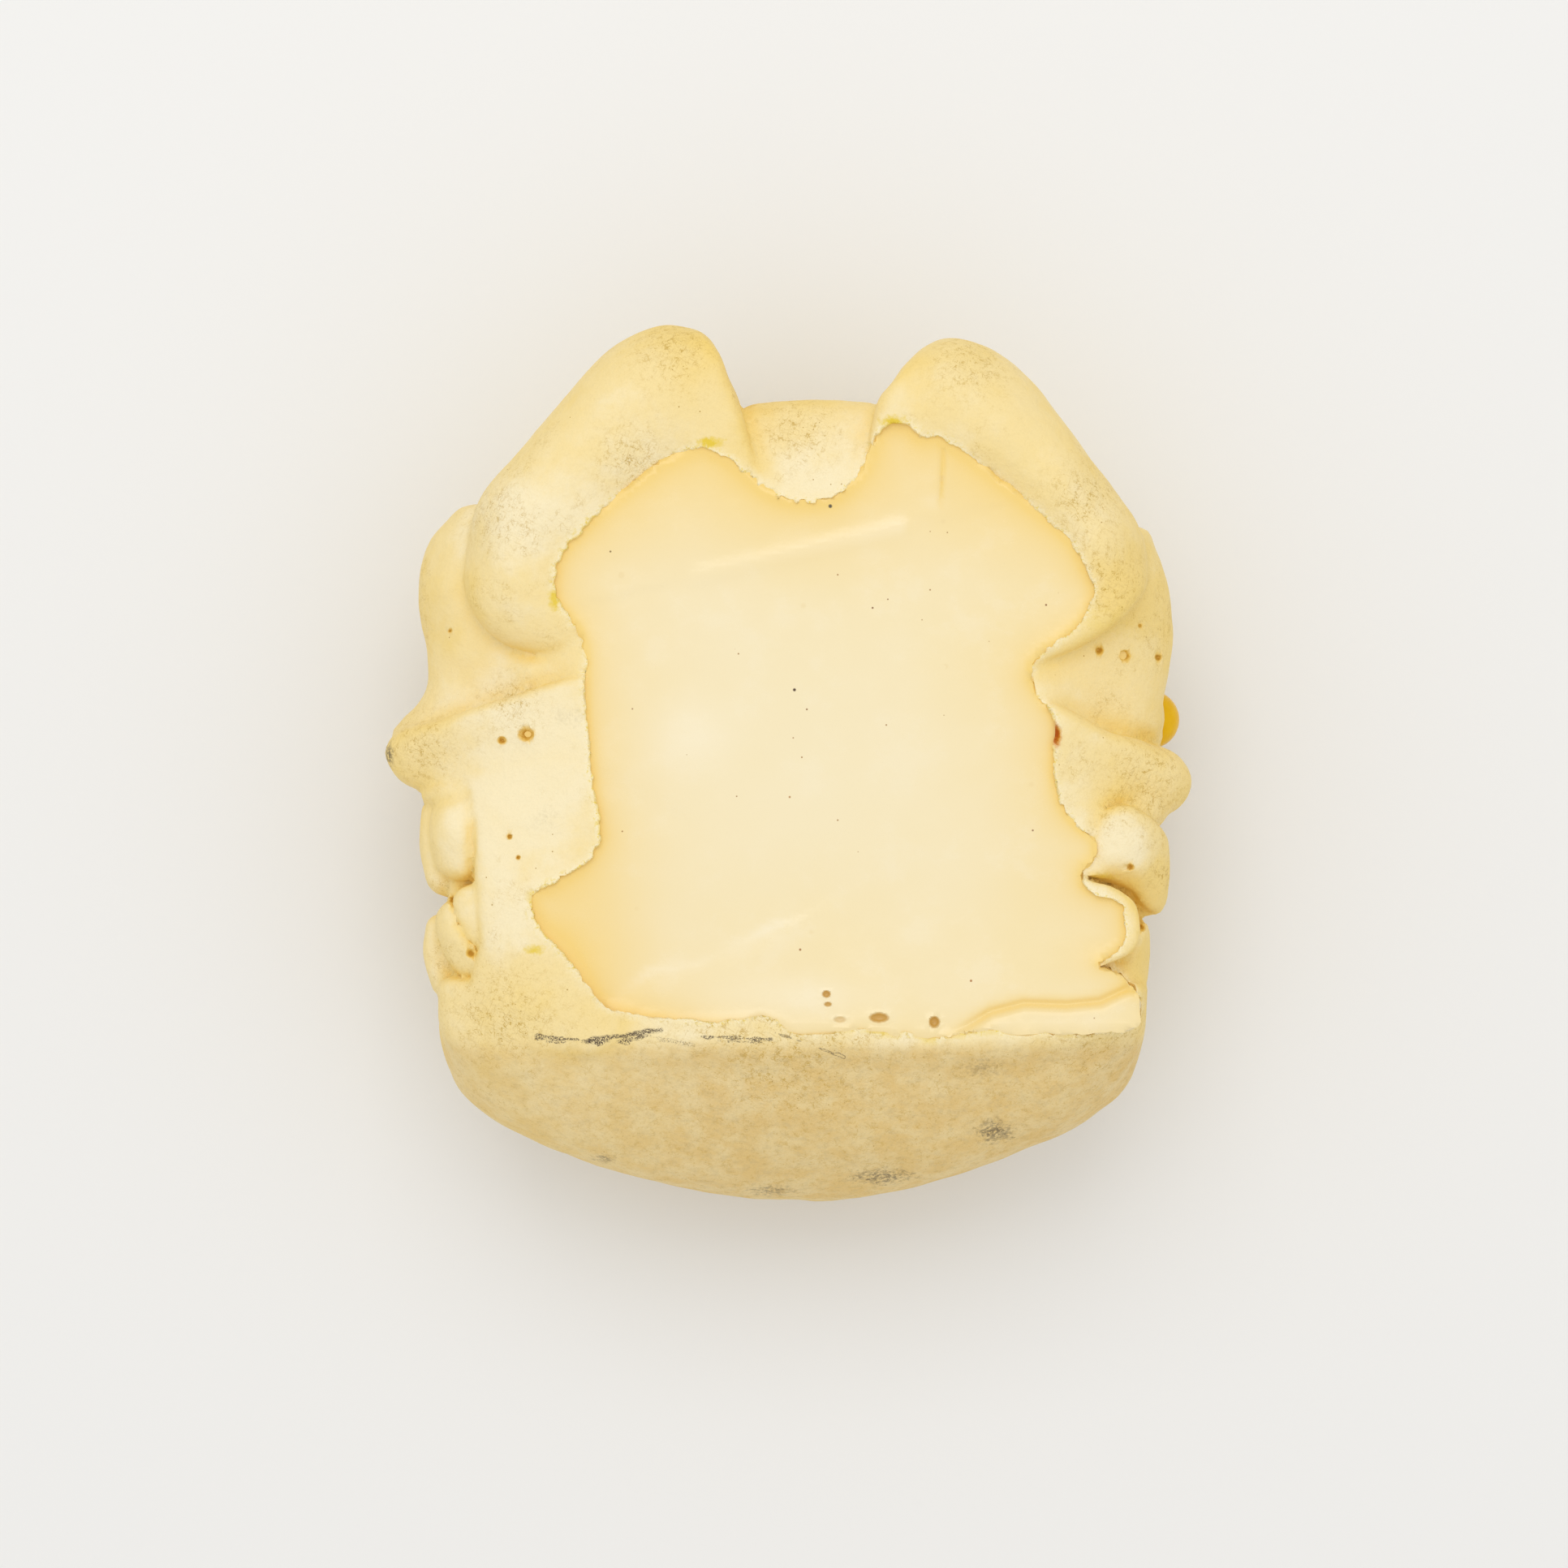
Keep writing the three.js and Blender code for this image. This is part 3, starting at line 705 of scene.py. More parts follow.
def points_of(obj):
    co = np.empty(len(obj.data.vertices) * 3)
    obj.data.vertices.foreach_get("co", co)
    return co.reshape(-1, 3) / MM - SHIFT


def under_pour(p):
    """Points of the skin that nobody sees: the lining of the hollow."""
    return (fill_field(*p.T) < -0.3) | (outer(*p.T) < 0.4 - WALL)


def thin_lining(obj, keep):
    """Makes the hidden lining coarser, keeping this share of its faces."""
    hidden = under_pour(points_of(obj))
    lining = obj.vertex_groups.new(name="lining")
    lining.add(np.flatnonzero(hidden).tolist(), 1.0, "REPLACE")
    thin = obj.modifiers.new("thin", "DECIMATE")
    thin.vertex_group = lining.name
    thin.ratio = 1 - (1 - keep) * hidden.mean()
    finished = obj.evaluated_get(bpy.context.evaluated_depsgraph_get())
    mesh = bpy.data.meshes.new_from_object(finished)
    mesh.validate()
    obj.modifiers.clear()
    obj.vertex_groups.clear()
    obj.data = mesh


def near_edge_or_hole(p, reach):
    hit = (np.abs(PLAN.at(p[:, 0], p[:, 1])) < reach) & (p[:, 2] > 70)
    for x, y, a, b in SKIN_HOLES:
        hit |= (np.hypot(p[:, 0] - x, p[:, 1] - y) < max(a, b) + 0.8) & (p[:, 2] > 45)
    return hit & ~under_pour(p)


def refine(obj, field, wanted, reaches):
    """Splits faces where wanted, once for each reach, then draws the points onto the exact surface."""
    mesh = obj.data
    b = bmesh.new()
    b.from_mesh(mesh)
    for reach in reaches:
        pts = np.array([v.co[:] for v in b.verts]) / MM - SHIFT
        hit = wanted(pts, reach)
        edges = [e for e in b.edges if hit[e.verts[0].index] and hit[e.verts[1].index]]
        bmesh.ops.subdivide_edges(b, edges=edges, cuts=1, use_grid_fill=True)
        b.verts.index_update()
    bmesh.ops.triangulate(b, faces=[f for f in b.faces if len(f.verts) > 4])
    pts = settle(np.array([v.co[:] for v in b.verts]) / MM - SHIFT, field, rounds=2, reach=0.4)
    for v, p in zip(b.verts, (pts + SHIFT) * MM):
        v.co = p
    b.to_mesh(mesh)
    b.free()
    mesh.polygons.foreach_set("use_smooth", [True] * len(mesh.polygons))


# ---------------------------------------------------------------- shader helpers

class Graph:
    """Adds nodes to a tree. A socket given as a value is linked, anything else is set."""

    def __init__(self, tree):
        self.tree = tree

    def add(self, kind, values=None, **settings):
        node = self.tree.nodes.new(kind)
        for key, value in settings.items():
            setattr(node, key, value)
        for key, value in (values or {}).items():
            self.set(node.inputs[key], value)
        return node

    def set(self, socket, value):
        if isinstance(value, bpy.types.NodeSocket):
            self.tree.links.new(value, socket)
        else:
            socket.default_value = value

    def math(self, operation, a, b=0.0, clamp=False):
        return self.add("ShaderNodeMath", {0: a, 1: b}, operation=operation, use_clamp=clamp).outputs[0]

    def vector(self, operation, a, b=(0, 0, 0)):
        node = self.add("ShaderNodeVectorMath", {0: a, 1: b}, operation=operation)
        return node.outputs["Value" if operation in ("DOT_PRODUCT", "LENGTH", "DISTANCE") else "Vector"]

    def noise(self, vector, scale, detail=2.0, rough=0.5, kind="Fac"):
        values = {"Vector": vector, "Scale": scale, "Detail": detail, "Roughness": rough}
        return self.add("ShaderNodeTexNoise", values).outputs[kind]

    def scaled(self, vector, scale):
        return self.add("ShaderNodeVectorMath", {0: vector, "Scale": scale}, operation="SCALE").outputs[0]

    def ramp(self, fac, lo, hi, out_lo=0.0, out_hi=1.0):
        values = {0: fac, 1: lo, 2: hi, 3: out_lo, 4: out_hi}
        return self.add("ShaderNodeMapRange", values, interpolation_type="SMOOTHSTEP").outputs[0]

    def mix(self, fac, a, b):
        node = self.add("ShaderNodeMix", data_type="RGBA")
        for key, value in (("Factor_Float", fac), ("A_Color", a), ("B_Color", b)):
            socket = next(i for i in node.inputs if i.identifier == key)
            self.set(socket, (*value, 1) if isinstance(value, tuple) else value)
        return next(o for o in node.outputs if o.identifier == "Result_Color")

    def stain(self, colour, mask, strength, tone):
        """Lays a tone over the colour where the mask is, at this strength."""
        return self.mix(self.math("MULTIPLY", mask, strength), colour, tone)


def new_group(name, inputs, outputs):
    tree = bpy.data.node_groups.new(name, "ShaderNodeTree")
    for label, kind, value in inputs:
        socket = tree.interface.new_socket(label, in_out="INPUT", socket_type=kind)
        if value is not None:
            socket.default_value = value
    for label, kind in outputs:
        tree.interface.new_socket(label, in_out="OUTPUT", socket_type=kind)
    given, made = tree.nodes.new("NodeGroupInput").outputs, tree.nodes.new("NodeGroupOutput").inputs
    return tree, Graph(tree), given, made


def blot_group():
    """Mask of one ragged blot, seen in plan: middle, reach along x and y, and how ragged its edge is."""
    tree, g, i, o = new_group("blot", [
        ("Place", "NodeSocketVector", None), ("Middle", "NodeSocketVector", None),
        ("Reach", "NodeSocketVector", (1, 1, 1)),
        ("Raggedness", "NodeSocketFloat", 0.2), ("Softness", "NodeSocketFloat", 0.3)],
        [("Mask", "NodeSocketFloat")])
    away = g.vector("DIVIDE", g.vector("SUBTRACT", i["Place"], i["Middle"]), i["Reach"])
    flat = g.vector("LENGTH", g.vector("MULTIPLY", away, (1, 1, 0)))
    wobble = g.math("MULTIPLY", g.math("SUBTRACT", g.noise(i["Place"], 0.9, 4, 0.65), 0.5), i["Raggedness"])
    edge = g.math("SUBTRACT", 1, g.math("ADD", flat, wobble))
    g.set(o["Mask"], g.math("DIVIDE", edge, i["Softness"], clamp=True))
    return tree


def stroke_group():
    """Mask of one dry, broken rub mark between two points, seen in plan."""
    tree, g, i, o = new_group("stroke", [
        ("Place", "NodeSocketVector", None), ("From", "NodeSocketVector", None),
        ("To", "NodeSocketVector", None),
        ("Width", "NodeSocketFloat", 0.6), ("Breaks", "NodeSocketFloat", 0.5)], [("Mask", "NodeSocketFloat")])
    place = g.vector("MULTIPLY", i["Place"], (1, 1, 0))
    start = g.vector("MULTIPLY", i["From"], (1, 1, 0))
    along = g.vector("SUBTRACT", g.vector("MULTIPLY", i["To"], (1, 1, 0)), start)
    off = g.vector("SUBTRACT", place, start)
    t = g.math("DIVIDE", g.vector("DOT_PRODUCT", off, along), g.vector("DOT_PRODUCT", along, along),
               clamp=True)
    step = g.scaled(along, t)
    wander = g.math("MULTIPLY", g.math("SUBTRACT", g.noise(i["Place"], 0.35, 3), 0.5), 2.2)
    near = g.math("ABSOLUTE", g.math("ADD", g.vector("LENGTH", g.vector("SUBTRACT", off, step)), wander))
    body = g.ramp(g.math("DIVIDE", near, i["Width"]), 1.0, 0.3)
    grain = g.math("SUBTRACT", g.noise(i["Place"], 3.6, 3, 0.75), i["Breaks"])
    grain = g.ramp(grain, -0.03, 0.05)
    g.set(o["Mask"], g.math("MULTIPLY", body, grain))
    return tree


def specks_group():
    """Tiny dark grains in drifts: size apart, share of cells that hold one, and where drifts gather."""
    tree, g, i, o = new_group("specks", [
        ("Place", "NodeSocketVector", None), ("Apart", "NodeSocketFloat", 1.0),
        ("Grain", "NodeSocketFloat", 0.12),
        ("Share", "NodeSocketFloat", 0.3), ("Drift", "NodeSocketFloat", 0.5)], [("Mask", "NodeSocketFloat")])
    cells = g.add("ShaderNodeTexVoronoi", {"Vector": i["Place"], "Scale": g.math("DIVIDE", 1, i["Apart"])})
    dot = g.ramp(g.math("DIVIDE", cells.outputs["Distance"], i["Grain"]), 1.0, 0.45)
    pick = g.add("ShaderNodeSeparateColor", {0: cells.outputs["Color"]}).outputs[0]
    sparse, dense = g.math("SUBTRACT", i["Drift"], 0.08), g.math("ADD", i["Drift"], 0.12)
    drift = g.ramp(g.noise(i["Place"], 0.09, 3, 0.6), sparse, dense)
    chosen = g.math("LESS_THAN", pick, g.math("MULTIPLY", i["Share"], drift))
    g.set(o["Mask"], g.math("MULTIPLY", dot, chosen))
    return tree


def crackle_group():
    """Fine wrinkle net of a dried skin: a height for relief and a mask of its dark cracks."""
    tree, g, i, o = new_group("crackle", [
        ("Place", "NodeSocketVector", None), ("Cell", "NodeSocketFloat", 1.2),
        ("Wander", "NodeSocketFloat", 0.5)],
        [("Height", "NodeSocketFloat"), ("Cracks", "NodeSocketFloat")])
    jitter = g.vector("SUBTRACT", g.noise(i["Place"], 1.1, kind="Color"), (0.5, 0.5, 0.5))
    warped = g.vector("ADD", i["Place"], g.scaled(jitter, i["Wander"]))
    values = {"Vector": warped, "Scale": g.math("DIVIDE", 1, i["Cell"])}
    net = g.add("ShaderNodeTexVoronoi", values, feature="DISTANCE_TO_EDGE")
    g.set(o["Height"], g.ramp(net.outputs["Distance"], 0, 0.25))
    g.set(o["Cracks"], g.ramp(net.outputs["Distance"], 0.07, 0.01))
    return tree


BLOT, STROKE, SPECKS, CRACKLE = blot_group(), stroke_group(), specks_group(), crackle_group()


def place_mm(x, y, z=0.0):
    """A modelling-frame point as the millimetre vector that the groups compare with."""
    return (x + SHIFT[0], y + SHIFT[1], z)


def begin_material(name):
    m = bpy.data.materials.new(name)
    m.use_nodes = True
    g = Graph(m.node_tree)
    principled = m.node_tree.nodes["Principled BSDF"]
    coords = g.add("ShaderNodeTexCoord").outputs["Object"]
    place = g.vector("MULTIPLY", coords, (1 / MM, 1 / MM, 1 / MM))
    return m, g, principled, place


def mask_group(g, tree, **values):
    node = g.add("ShaderNodeGroup", node_tree=tree)
    for key, value in values.items():
        g.set(node.inputs[key], value)
    return node.outputs


def blot(g, place, middle, reach, ragged, soft):
    """Mask of one blot seen in plan."""
    node = mask_group(g, BLOT, Place=place, Middle=place_mm(*middle), Reach=(*reach, 1),
                      Raggedness=ragged, Softness=soft)
    return node["Mask"]


def specks(g, place, apart, grain, share, drift):
    return mask_group(g, SPECKS, Place=place, Apart=apart, Grain=grain, Share=share, Drift=drift)["Mask"]


def attribute(g, name):
    return g.add("ShaderNodeAttribute", attribute_name=name).outputs["Fac"]


# Ragged marks on the skin: middle x, y, reach x, y, raggedness, softness, strength
AMBER_RESIDUE = [
    (-16.7, 66.8, 3.4, 1.5, 1.6, 0.7, 0.95), (-49.3, 34, 1.5, 3.0, 1.5, 0.7, 0.9),
    (21.6, 71.2, 3.4, 1.4, 1.8, 0.7, 0.95),
    (-53.5, -39.5, 2.6, 1.3, 1.6, 0.7, 0.85), (66, -24.3, 3.5, 1.0, 2.0, 0.9, 0.6),
    (56, 5.5, 0.9, 2.2, 0.8, 0.5, 1.0),
    (19, -56.5, 5, 0.8, 1.6, 0.8, 0.4), (40, -56.8, 8, 0.8, 2.0, 0.8, 0.3), (65.5, 29, 9, 4, 3.0, 1.4, 0.25),
]
GREY_SMUDGES = [
    (43.7, -79, 5, 3.2, 2.2, 0.8, 0.85), (41, -64.5, 5, 2.6, 3.2, 1.2, 0.45),
    (20, -89.5, 8, 2.4, 2.4, 0.8, 0.8),
    (-4, -93, 6, 1.8, 2.6, 0.9, 0.65), (-40, -85.5, 3.6, 1.4, 2.4, 0.9, 0.6),
    (-85.6, 1.4, 1.5, 3.4, 1.0, 0.8, 0.85),
    (-46, 9.5, 5, 2.5, 2.6, 1.4, 0.22), (-51, -12, 4, 3, 2.6, 1.4, 0.16),
]
RUB_MARKS = [
    ((-53, -57.8), (-38, -58.8), 0.55, 0.47, 0.9), ((-51, -58.8), (-34, -59), 0.4, 0.5, 0.8),
    ((-42, -58.6), (-27, -56.2), 0.75, 0.45, 0.95), ((-40, -59.2), (-29, -57.4), 0.45, 0.47, 0.9),
    ((-18.5, -57.6), (-4, -58.2), 0.5, 0.47, 0.85), ((-15, -58.5), (-6, -58.8), 0.35, 0.5, 0.7),
    ((-30, -57.5), (-20, -59.6), 0.5, 0.52, 0.5), ((-3, -56.8), (11.4, -62), 0.2, 0.44, 0.6),
]


def skin_tone(g, place, patch, chin):
    """Ivory, with painted shade: paler where the skin faces up and yellower where it falls away from the
    light. The chin wall is painted darker and browner, partly as shade and partly as its own grime, and the
    creases get painted warm shade.
    """
    wide = g.noise(place, 0.04, 3, 0.55)
    yellowing_and_shade = g.math("ADD", attribute(g, "yellowing_and_slope_shade"), g.math("MULTIPLY", g.math("SUBTRACT", wide, 0.5), 1.5))
    yellowing_and_shade = g.math("ADD", yellowing_and_shade, g.math("MULTIPLY", g.math("SUBTRACT", patch, 0.5), 1.1))
    colour = g.mix(g.ramp(yellowing_and_shade, -0.6, 0.25), (0.93, 0.805, 0.52), (0.905, 0.72, 0.345))
    colour = g.mix(g.ramp(yellowing_and_shade, 0.2, 1.0), colour, (0.885, 0.665, 0.245))
    # Painted shade on the downward-facing chin wall: darker and browner, partly shade and partly the chin's
    # own grime.
    chin_shade_colour = g.mix(g.ramp(patch, 0.35, 0.65), (0.81, 0.625, 0.305), (0.765, 0.54, 0.215))
    colour = g.stain(colour, chin, 0.92, chin_shade_colour)
    # Painted warm shade in creases and hollows, where the skin is closed in.
    return g.stain(colour, attribute(g, "crevice_shade"), 0.7, (0.885, 0.62, 0.13))


def cut_edge_tone(g, place, colour):
    """Painted pale highlight along the trimmed edge, with yellow residue caught in it, and painted deep
    yellow shade on the inner wall of the cut.
    """
    grain = g.noise(place, 1.1, 4, 0.72)
    cut_edge_sheen_mask = attribute(g, "edge_sheen_and_residue")
    # Painted pale highlight on the torn edge; the yellow stain below is real residue.
    colour = g.stain(colour, cut_edge_sheen_mask, g.ramp(grain, 0.38, 0.5), (0.945, 0.84, 0.56))
    colour = g.stain(colour, cut_edge_sheen_mask, g.ramp(grain, 0.52, 0.62), (0.84, 0.63, 0.12))
    # Painted deep yellow shade on the inner wall under the cut edge.
    return g.mix(attribute(g, "inner_wall_shade"), colour, (0.86, 0.64, 0.15))


def dried_tone(g, place, colour, dry, chin, fine, coarse):
    """Cracks, hatching, papery patches and grime, strongest where the skin dried hardest."""
    broken = g.ramp(g.noise(place, 0.55, 4, 0.7), 0.48, 0.58)
    cracks = g.math("MAXIMUM", g.math("MULTIPLY", fine["Cracks"], 0.65), coarse["Cracks"])
    cracks = g.math("MULTIPLY", g.math("MULTIPLY", cracks, dry), broken)
    colour = g.stain(colour, cracks, 0.75, (0.50, 0.30, 0.03))
    hatch = 0
    for turn, across in ((0.5, (0.35, 3.4, 1)), (2.0, (0.3, 3.0, 1))):
        turned = g.add("ShaderNodeVectorRotate", {"Vector": place, "Angle": turn}, rotation_type="Z_AXIS")
        stretched = g.vector("MULTIPLY", turned.outputs[0], across)
        hatch = g.math("MAXIMUM", hatch, g.ramp(g.noise(stretched, 1.0, 3, 0.65), 0.56, 0.68))
    colour = g.stain(colour, g.math("MULTIPLY", hatch, dry), 0.42, (0.60, 0.40, 0.12))
    papery = g.ramp(g.noise(place, 1.6, 6, 0.75), 0.5, 0.66)
    colour = g.stain(colour, papery, g.math("ADD", g.math("MULTIPLY", dry, 0.18), 0.07), (0.70, 0.50, 0.18))
    grime = g.math("MULTIPLY", specks(g, place, 1.1, 0.17, 0.3, 0.52), dry)
    grime = g.math("MAXIMUM", grime, specks(g, place, 3.4, 0.06, 0.5, 0.4))
    colour = g.stain(colour, grime, 0.8, (0.36, 0.19, 0.015))
    mottling = g.ramp(g.noise(place, 0.5, 6, 0.7), 0.48, 0.66)
    return g.stain(colour, g.math("MULTIPLY", mottling, chin), 0.3, (0.56, 0.44, 0.22))


def marks_tone(g, place, colour, high):
    """Amber residue, grey smudges and dark rub marks at their own places."""
    for x, y, a, b, ragged, soft, strength in AMBER_RESIDUE:
        colour = g.stain(colour, blot(g, place, (x, y), (a, b), ragged, soft), strength, (0.80, 0.58, 0.05))
    for x, y, a, b, ragged, soft, strength in GREY_SMUDGES:
        mask = g.math("MULTIPLY", blot(g, place, (x, y), (a, b), ragged, soft), high)
        mask = g.math("MULTIPLY", mask, g.ramp(g.noise(place, 1.1, 4, 0.7), 0.4, 0.56))
        colour = g.stain(colour, mask, strength, (0.17, 0.13, 0.075))
    for start, end, width, breaks, strength in RUB_MARKS:
        mask = mask_group(g, STROKE, Place=place, From=place_mm(*start), To=place_mm(*end),
                          Width=width, Breaks=breaks)["Mask"]
        colour = g.stain(colour, g.math("MULTIPLY", mask, high), strength, (0.085, 0.06, 0.045))
    return colour


def skin_holes_tone(g, place, colour, high):
    """Each open bubble has a yellow ring and a brown heart; the chip at the edge is redder."""
    crumbs = g.ramp(g.noise(place, 2.2, 3, 0.6), 0.3, 0.5, 0.35, 1.0)
    for x, y, a, b in SKIN_HOLES:
        chip = (x, y) == CHIP
        ring = g.math("MULTIPLY", blot(g, place, (x, y), (a * 1.35, b * 1.35), 1.1, 0.5), high)
        heart = g.math("MULTIPLY", blot(g, place, (x, y), (a * 0.9, b * 0.9), 1.0, 0.5), high)
        heart = g.math("MULTIPLY", heart, crumbs)
        colour = g.stain(colour, ring, 0.75, (0.60, 0.15, 0.004) if chip else (0.80, 0.50, 0.07))
        colour = g.stain(colour, heart, 0.85, (0.36, 0.05, 0.002) if chip else (0.46, 0.20, 0.01))
    return colour


def skin_material():
    m, g, principled, place = begin_material("ivory_cast_skin")
    patch = g.noise(place, 0.15, 4, 0.6)
    chin = attribute(g, "chin_wall_shade_and_grime")
    fine = mask_group(g, CRACKLE, Place=place, Cell=1.0, Wander=1.3)
    coarse = mask_group(g, CRACKLE, Place=place, Cell=2.8, Wander=3.2)
    dry = g.math("MAXIMUM", attribute(g, "dry_skin"), g.math("MULTIPLY", chin, 0.55))
    dry = g.math("MAXIMUM", dry, g.math("MULTIPLY", g.ramp(g.noise(place, 0.07, 3, 0.6), 0.5, 0.68), 0.6))
    high = g.ramp(g.add("ShaderNodeSeparateXYZ", {0: place}).outputs[2], 8, 14)
    colour = skin_tone(g, place, patch, chin)
    colour = cut_edge_tone(g, place, colour)
    colour = dried_tone(g, place, colour, dry, chin, fine, coarse)
    colour = marks_tone(g, place, colour, high)
    colour = skin_holes_tone(g, place, colour, high)
    g.set(principled.inputs["Base Color"], colour)
    g.set(principled.inputs["Roughness"], g.ramp(patch, 0.3, 0.7, 0.55, 0.75))
    principled.inputs["Specular IOR Level"].default_value = 0.14
    height = g.math("MULTIPLY", coarse["Height"], 0.35)
    height = g.math("ADD", g.math("MULTIPLY", fine["Height"], 0.15), height)
    height = g.math("MULTIPLY", height, dry)
    height = g.math("ADD", height, g.math("MULTIPLY", g.noise(place, 0.45, 6, 0.62), 1.9))
    bump = g.add("ShaderNodeBump", {"Height": height, "Strength": 0.6, "Distance": 0.0004})
    g.set(principled.inputs["Normal"], bump.outputs[0])
    return m


# Single dark grains caught in the pour: x, y, reach, colour
SPECK_SPOTS = [
    (1, 15, 0.42, (0.09, 0.05, 0.03)), (8.5, 53.5, 0.5, (0.12, 0.10, 0.06)),
    (17.4, 32.2, 0.28, (0.25, 0.12, 0.05)),
    (53.8, 32.8, 0.28, (0.3, 0.14, 0.05)), (0, -7.5, 0.3, (0.5, 0.28, 0.12)),
    (-37.6, 44, 0.28, (0.3, 0.2, 0.08)),
    (51, -14.5, 0.28, (0.35, 0.2, 0.1)), (2.2, -39.5, 0.34, (0.4, 0.2, 0.08)),
    (38, -46, 0.34, (0.45, 0.2, 0.06)),
    (20.6, 34, 0.22, (0.35, 0.2, 0.1)), (-33, 11, 0.24, (0.45, 0.3, 0.15)),
    (3.6, 10.9, 0.26, (0.3, 0.16, 0.07)),
]


def fill_material():
    m, g, principled, place = begin_material("cream_pour")
    wide = g.noise(place, 0.028, 3, 0.5)
    cloud = g.noise(place, 0.11, 5, 0.62)
    colour = g.mix(g.ramp(wide, 0.35, 0.65), (0.88, 0.735, 0.425), (0.885, 0.755, 0.475))
    colour = g.stain(colour, g.ramp(cloud, 0.52, 0.7), 0.35, (0.89, 0.785, 0.55))
    # Painted sheen: the open middle of the pour is paler.
    colour = g.stain(colour, attribute(g, "middle_sheen"), 0.6, (0.885, 0.78, 0.535))
    # Painted highlight along the pour ridge and the flow edge, with a few pale sheen patches.
    colour = g.stain(colour, attribute(g, "pour_highlight"), 0.7, (0.945, 0.875, 0.70))
    # Painted warm shade on the pour next to the skin's walls, in the top corner, under the overflow lip and
    # in the wrinkle.
    colour = g.mix(attribute(g, "pour_wall_shade"), colour, (0.885, 0.635, 0.20))
    colour = g.stain(colour, specks(g, place, 4.5, 0.055, 0.5, 0.4), 0.85, (0.35, 0.17, 0.05))
    colour = g.stain(colour, specks(g, place, 9.0, 0.1, 0.6, 0.35), 0.3, (0.78, 0.6, 0.3))
    for x, y, reach, dark in SPECK_SPOTS:
        colour = g.mix(blot(g, place, (x, y), (reach, reach), 0.2, 0.5), colour, dark)
    for x, y, a, b in FILL_HOLES:
        strength = 0.9 if a < 1.25 or a > 1.6 else 0.35
        colour = g.stain(colour, blot(g, place, (x, y), (a * 1.2, b * 1.2), 0.3, 0.4), strength,
                         (0.60, 0.33, 0.05))
    g.set(principled.inputs["Base Color"], colour)
    g.set(principled.inputs["Roughness"], g.ramp(cloud, 0.35, 0.65, 0.16, 0.28))
    principled.inputs["Specular IOR Level"].default_value = 0.4
    height = g.math("ADD", g.noise(place, 0.3, 3, 0.5), g.math("MULTIPLY", g.noise(place, 1.6, 2, 0.5), 0.12))
    bump = g.add("ShaderNodeBump", {"Height": height, "Strength": 0.3, "Distance": 0.00025})
    g.set(principled.inputs["Normal"], bump.outputs[0])
    return m


def amber_material():
    m, g, principled, place = begin_material("amber_bead")
    streak = g.noise(place, 0.5, 4, 0.6)
    colour = g.mix(streak, (0.76, 0.40, 0.002), (0.84, 0.52, 0.006))
    pupil = attribute(g, "pupil")
    colour = g.mix(pupil, colour, (0.03, 0.012, 0.004))
    g.set(principled.inputs["Base Color"], colour)
    principled.inputs["Roughness"].default_value = 0.22
    principled.inputs["Specular IOR Level"].default_value = 0.12
    return m


def plain_material(name, colour, rough):
    m = bpy.data.materials.new(name)
    m.use_nodes = True
    p = m.node_tree.nodes["Principled BSDF"]
    p.inputs["Base Color"].default_value = (*colour, 1)
    p.inputs["Roughness"].default_value = rough
    return m


# ---------------------------------------------------------------- details on the meshes

def normals_of(obj):
    n = np.empty(len(obj.data.vertices) * 3)
    obj.data.vertices.foreach_get("normal", n)
    return n.reshape(-1, 3)


def put_points(obj, points):
    obj.data.vertices.foreach_set("co", ((points + SHIFT) * MM).ravel())
    obj.data.update()


def store(obj, name, values):
    layer = obj.data.attributes.new(name, "FLOAT", "POINT")
    layer.data.foreach_set("value", np.asarray(values, np.float32))


def press_holes(obj, holes, lowest):
    """Pits where bubbles broke the surface."""
    p, n = points_of(obj), normals_of(obj)
    for x, y, a, b in holes:
        r = np.hypot((p[:, 0] - x) / a, (p[:, 1] - y) / b)
        pit = np.where(r < 1, np.sqrt(np.clip(1 - r ** 2, 0, 1)), 0) * min(a, b) * 0.85
        lip = 0.16 * np.exp(-((r - 1.15) / 0.3) ** 2) * min(a, b)
        use = (p[:, 2] > lowest) & (n[:, 2] > 0.1)
        p[use] += (n * (lip - pit)[:, None])[use]
    put_points(obj, p)


def roughen(obj, size_and_height, keep):
    """Uneven hand-cast relief, laid along the surface normals."""
    p, n = points_of(obj), normals_of(obj)
    x, y, z = p.T
    lift = sum(h * lattice_noise(x, y, z, size, 40 + k) for k, (size, h) in enumerate(size_and_height))
    put_points(obj, p + n * (lift * keep(p))[:, None])


# How far each part has yellowed: x, y, reach, amount (below zero is paler)
AGEING = [
    (-57, -12, 13, -0.7), (-52, 4, 10, -0.45), (-62, 52, 12, -0.55), (-44, 62, 9, 0.1), (4, 57, 12, -0.3),
    (70, -17, 6, -0.8),
    (67, -31, 7, -0.7), (59, -12, 7, -0.4), (-56, -33, 8, -0.3), (-68, -14, 5, -0.2),
    (69, 37, 9, 1.1), (-24, 85, 12, 0.75), (-73, 38, 8, 0.35), (-66, 24, 9, 0.3), (38, 82, 10, 0.3),
    (71, -27.5, 4, 1.1), (75.5, -30, 4, 0.9), (-58, -51, 11, 0.65), (-69, -38, 6, 0.3), (72, -3, 11, 0.6),
    (79, -24, 4.5, 1.0),
    (3, 70, 10, 0.35), (66, 22, 11, 0.25), (-80, 3, 8, 0.15), (-12, 66, 5, 0.5), (75, -44, 8, 0.7),
    (52, 66, 10, 0.05),
    (-46, 27, 6, 0.35), (76, 30, 7, 0.5),
]
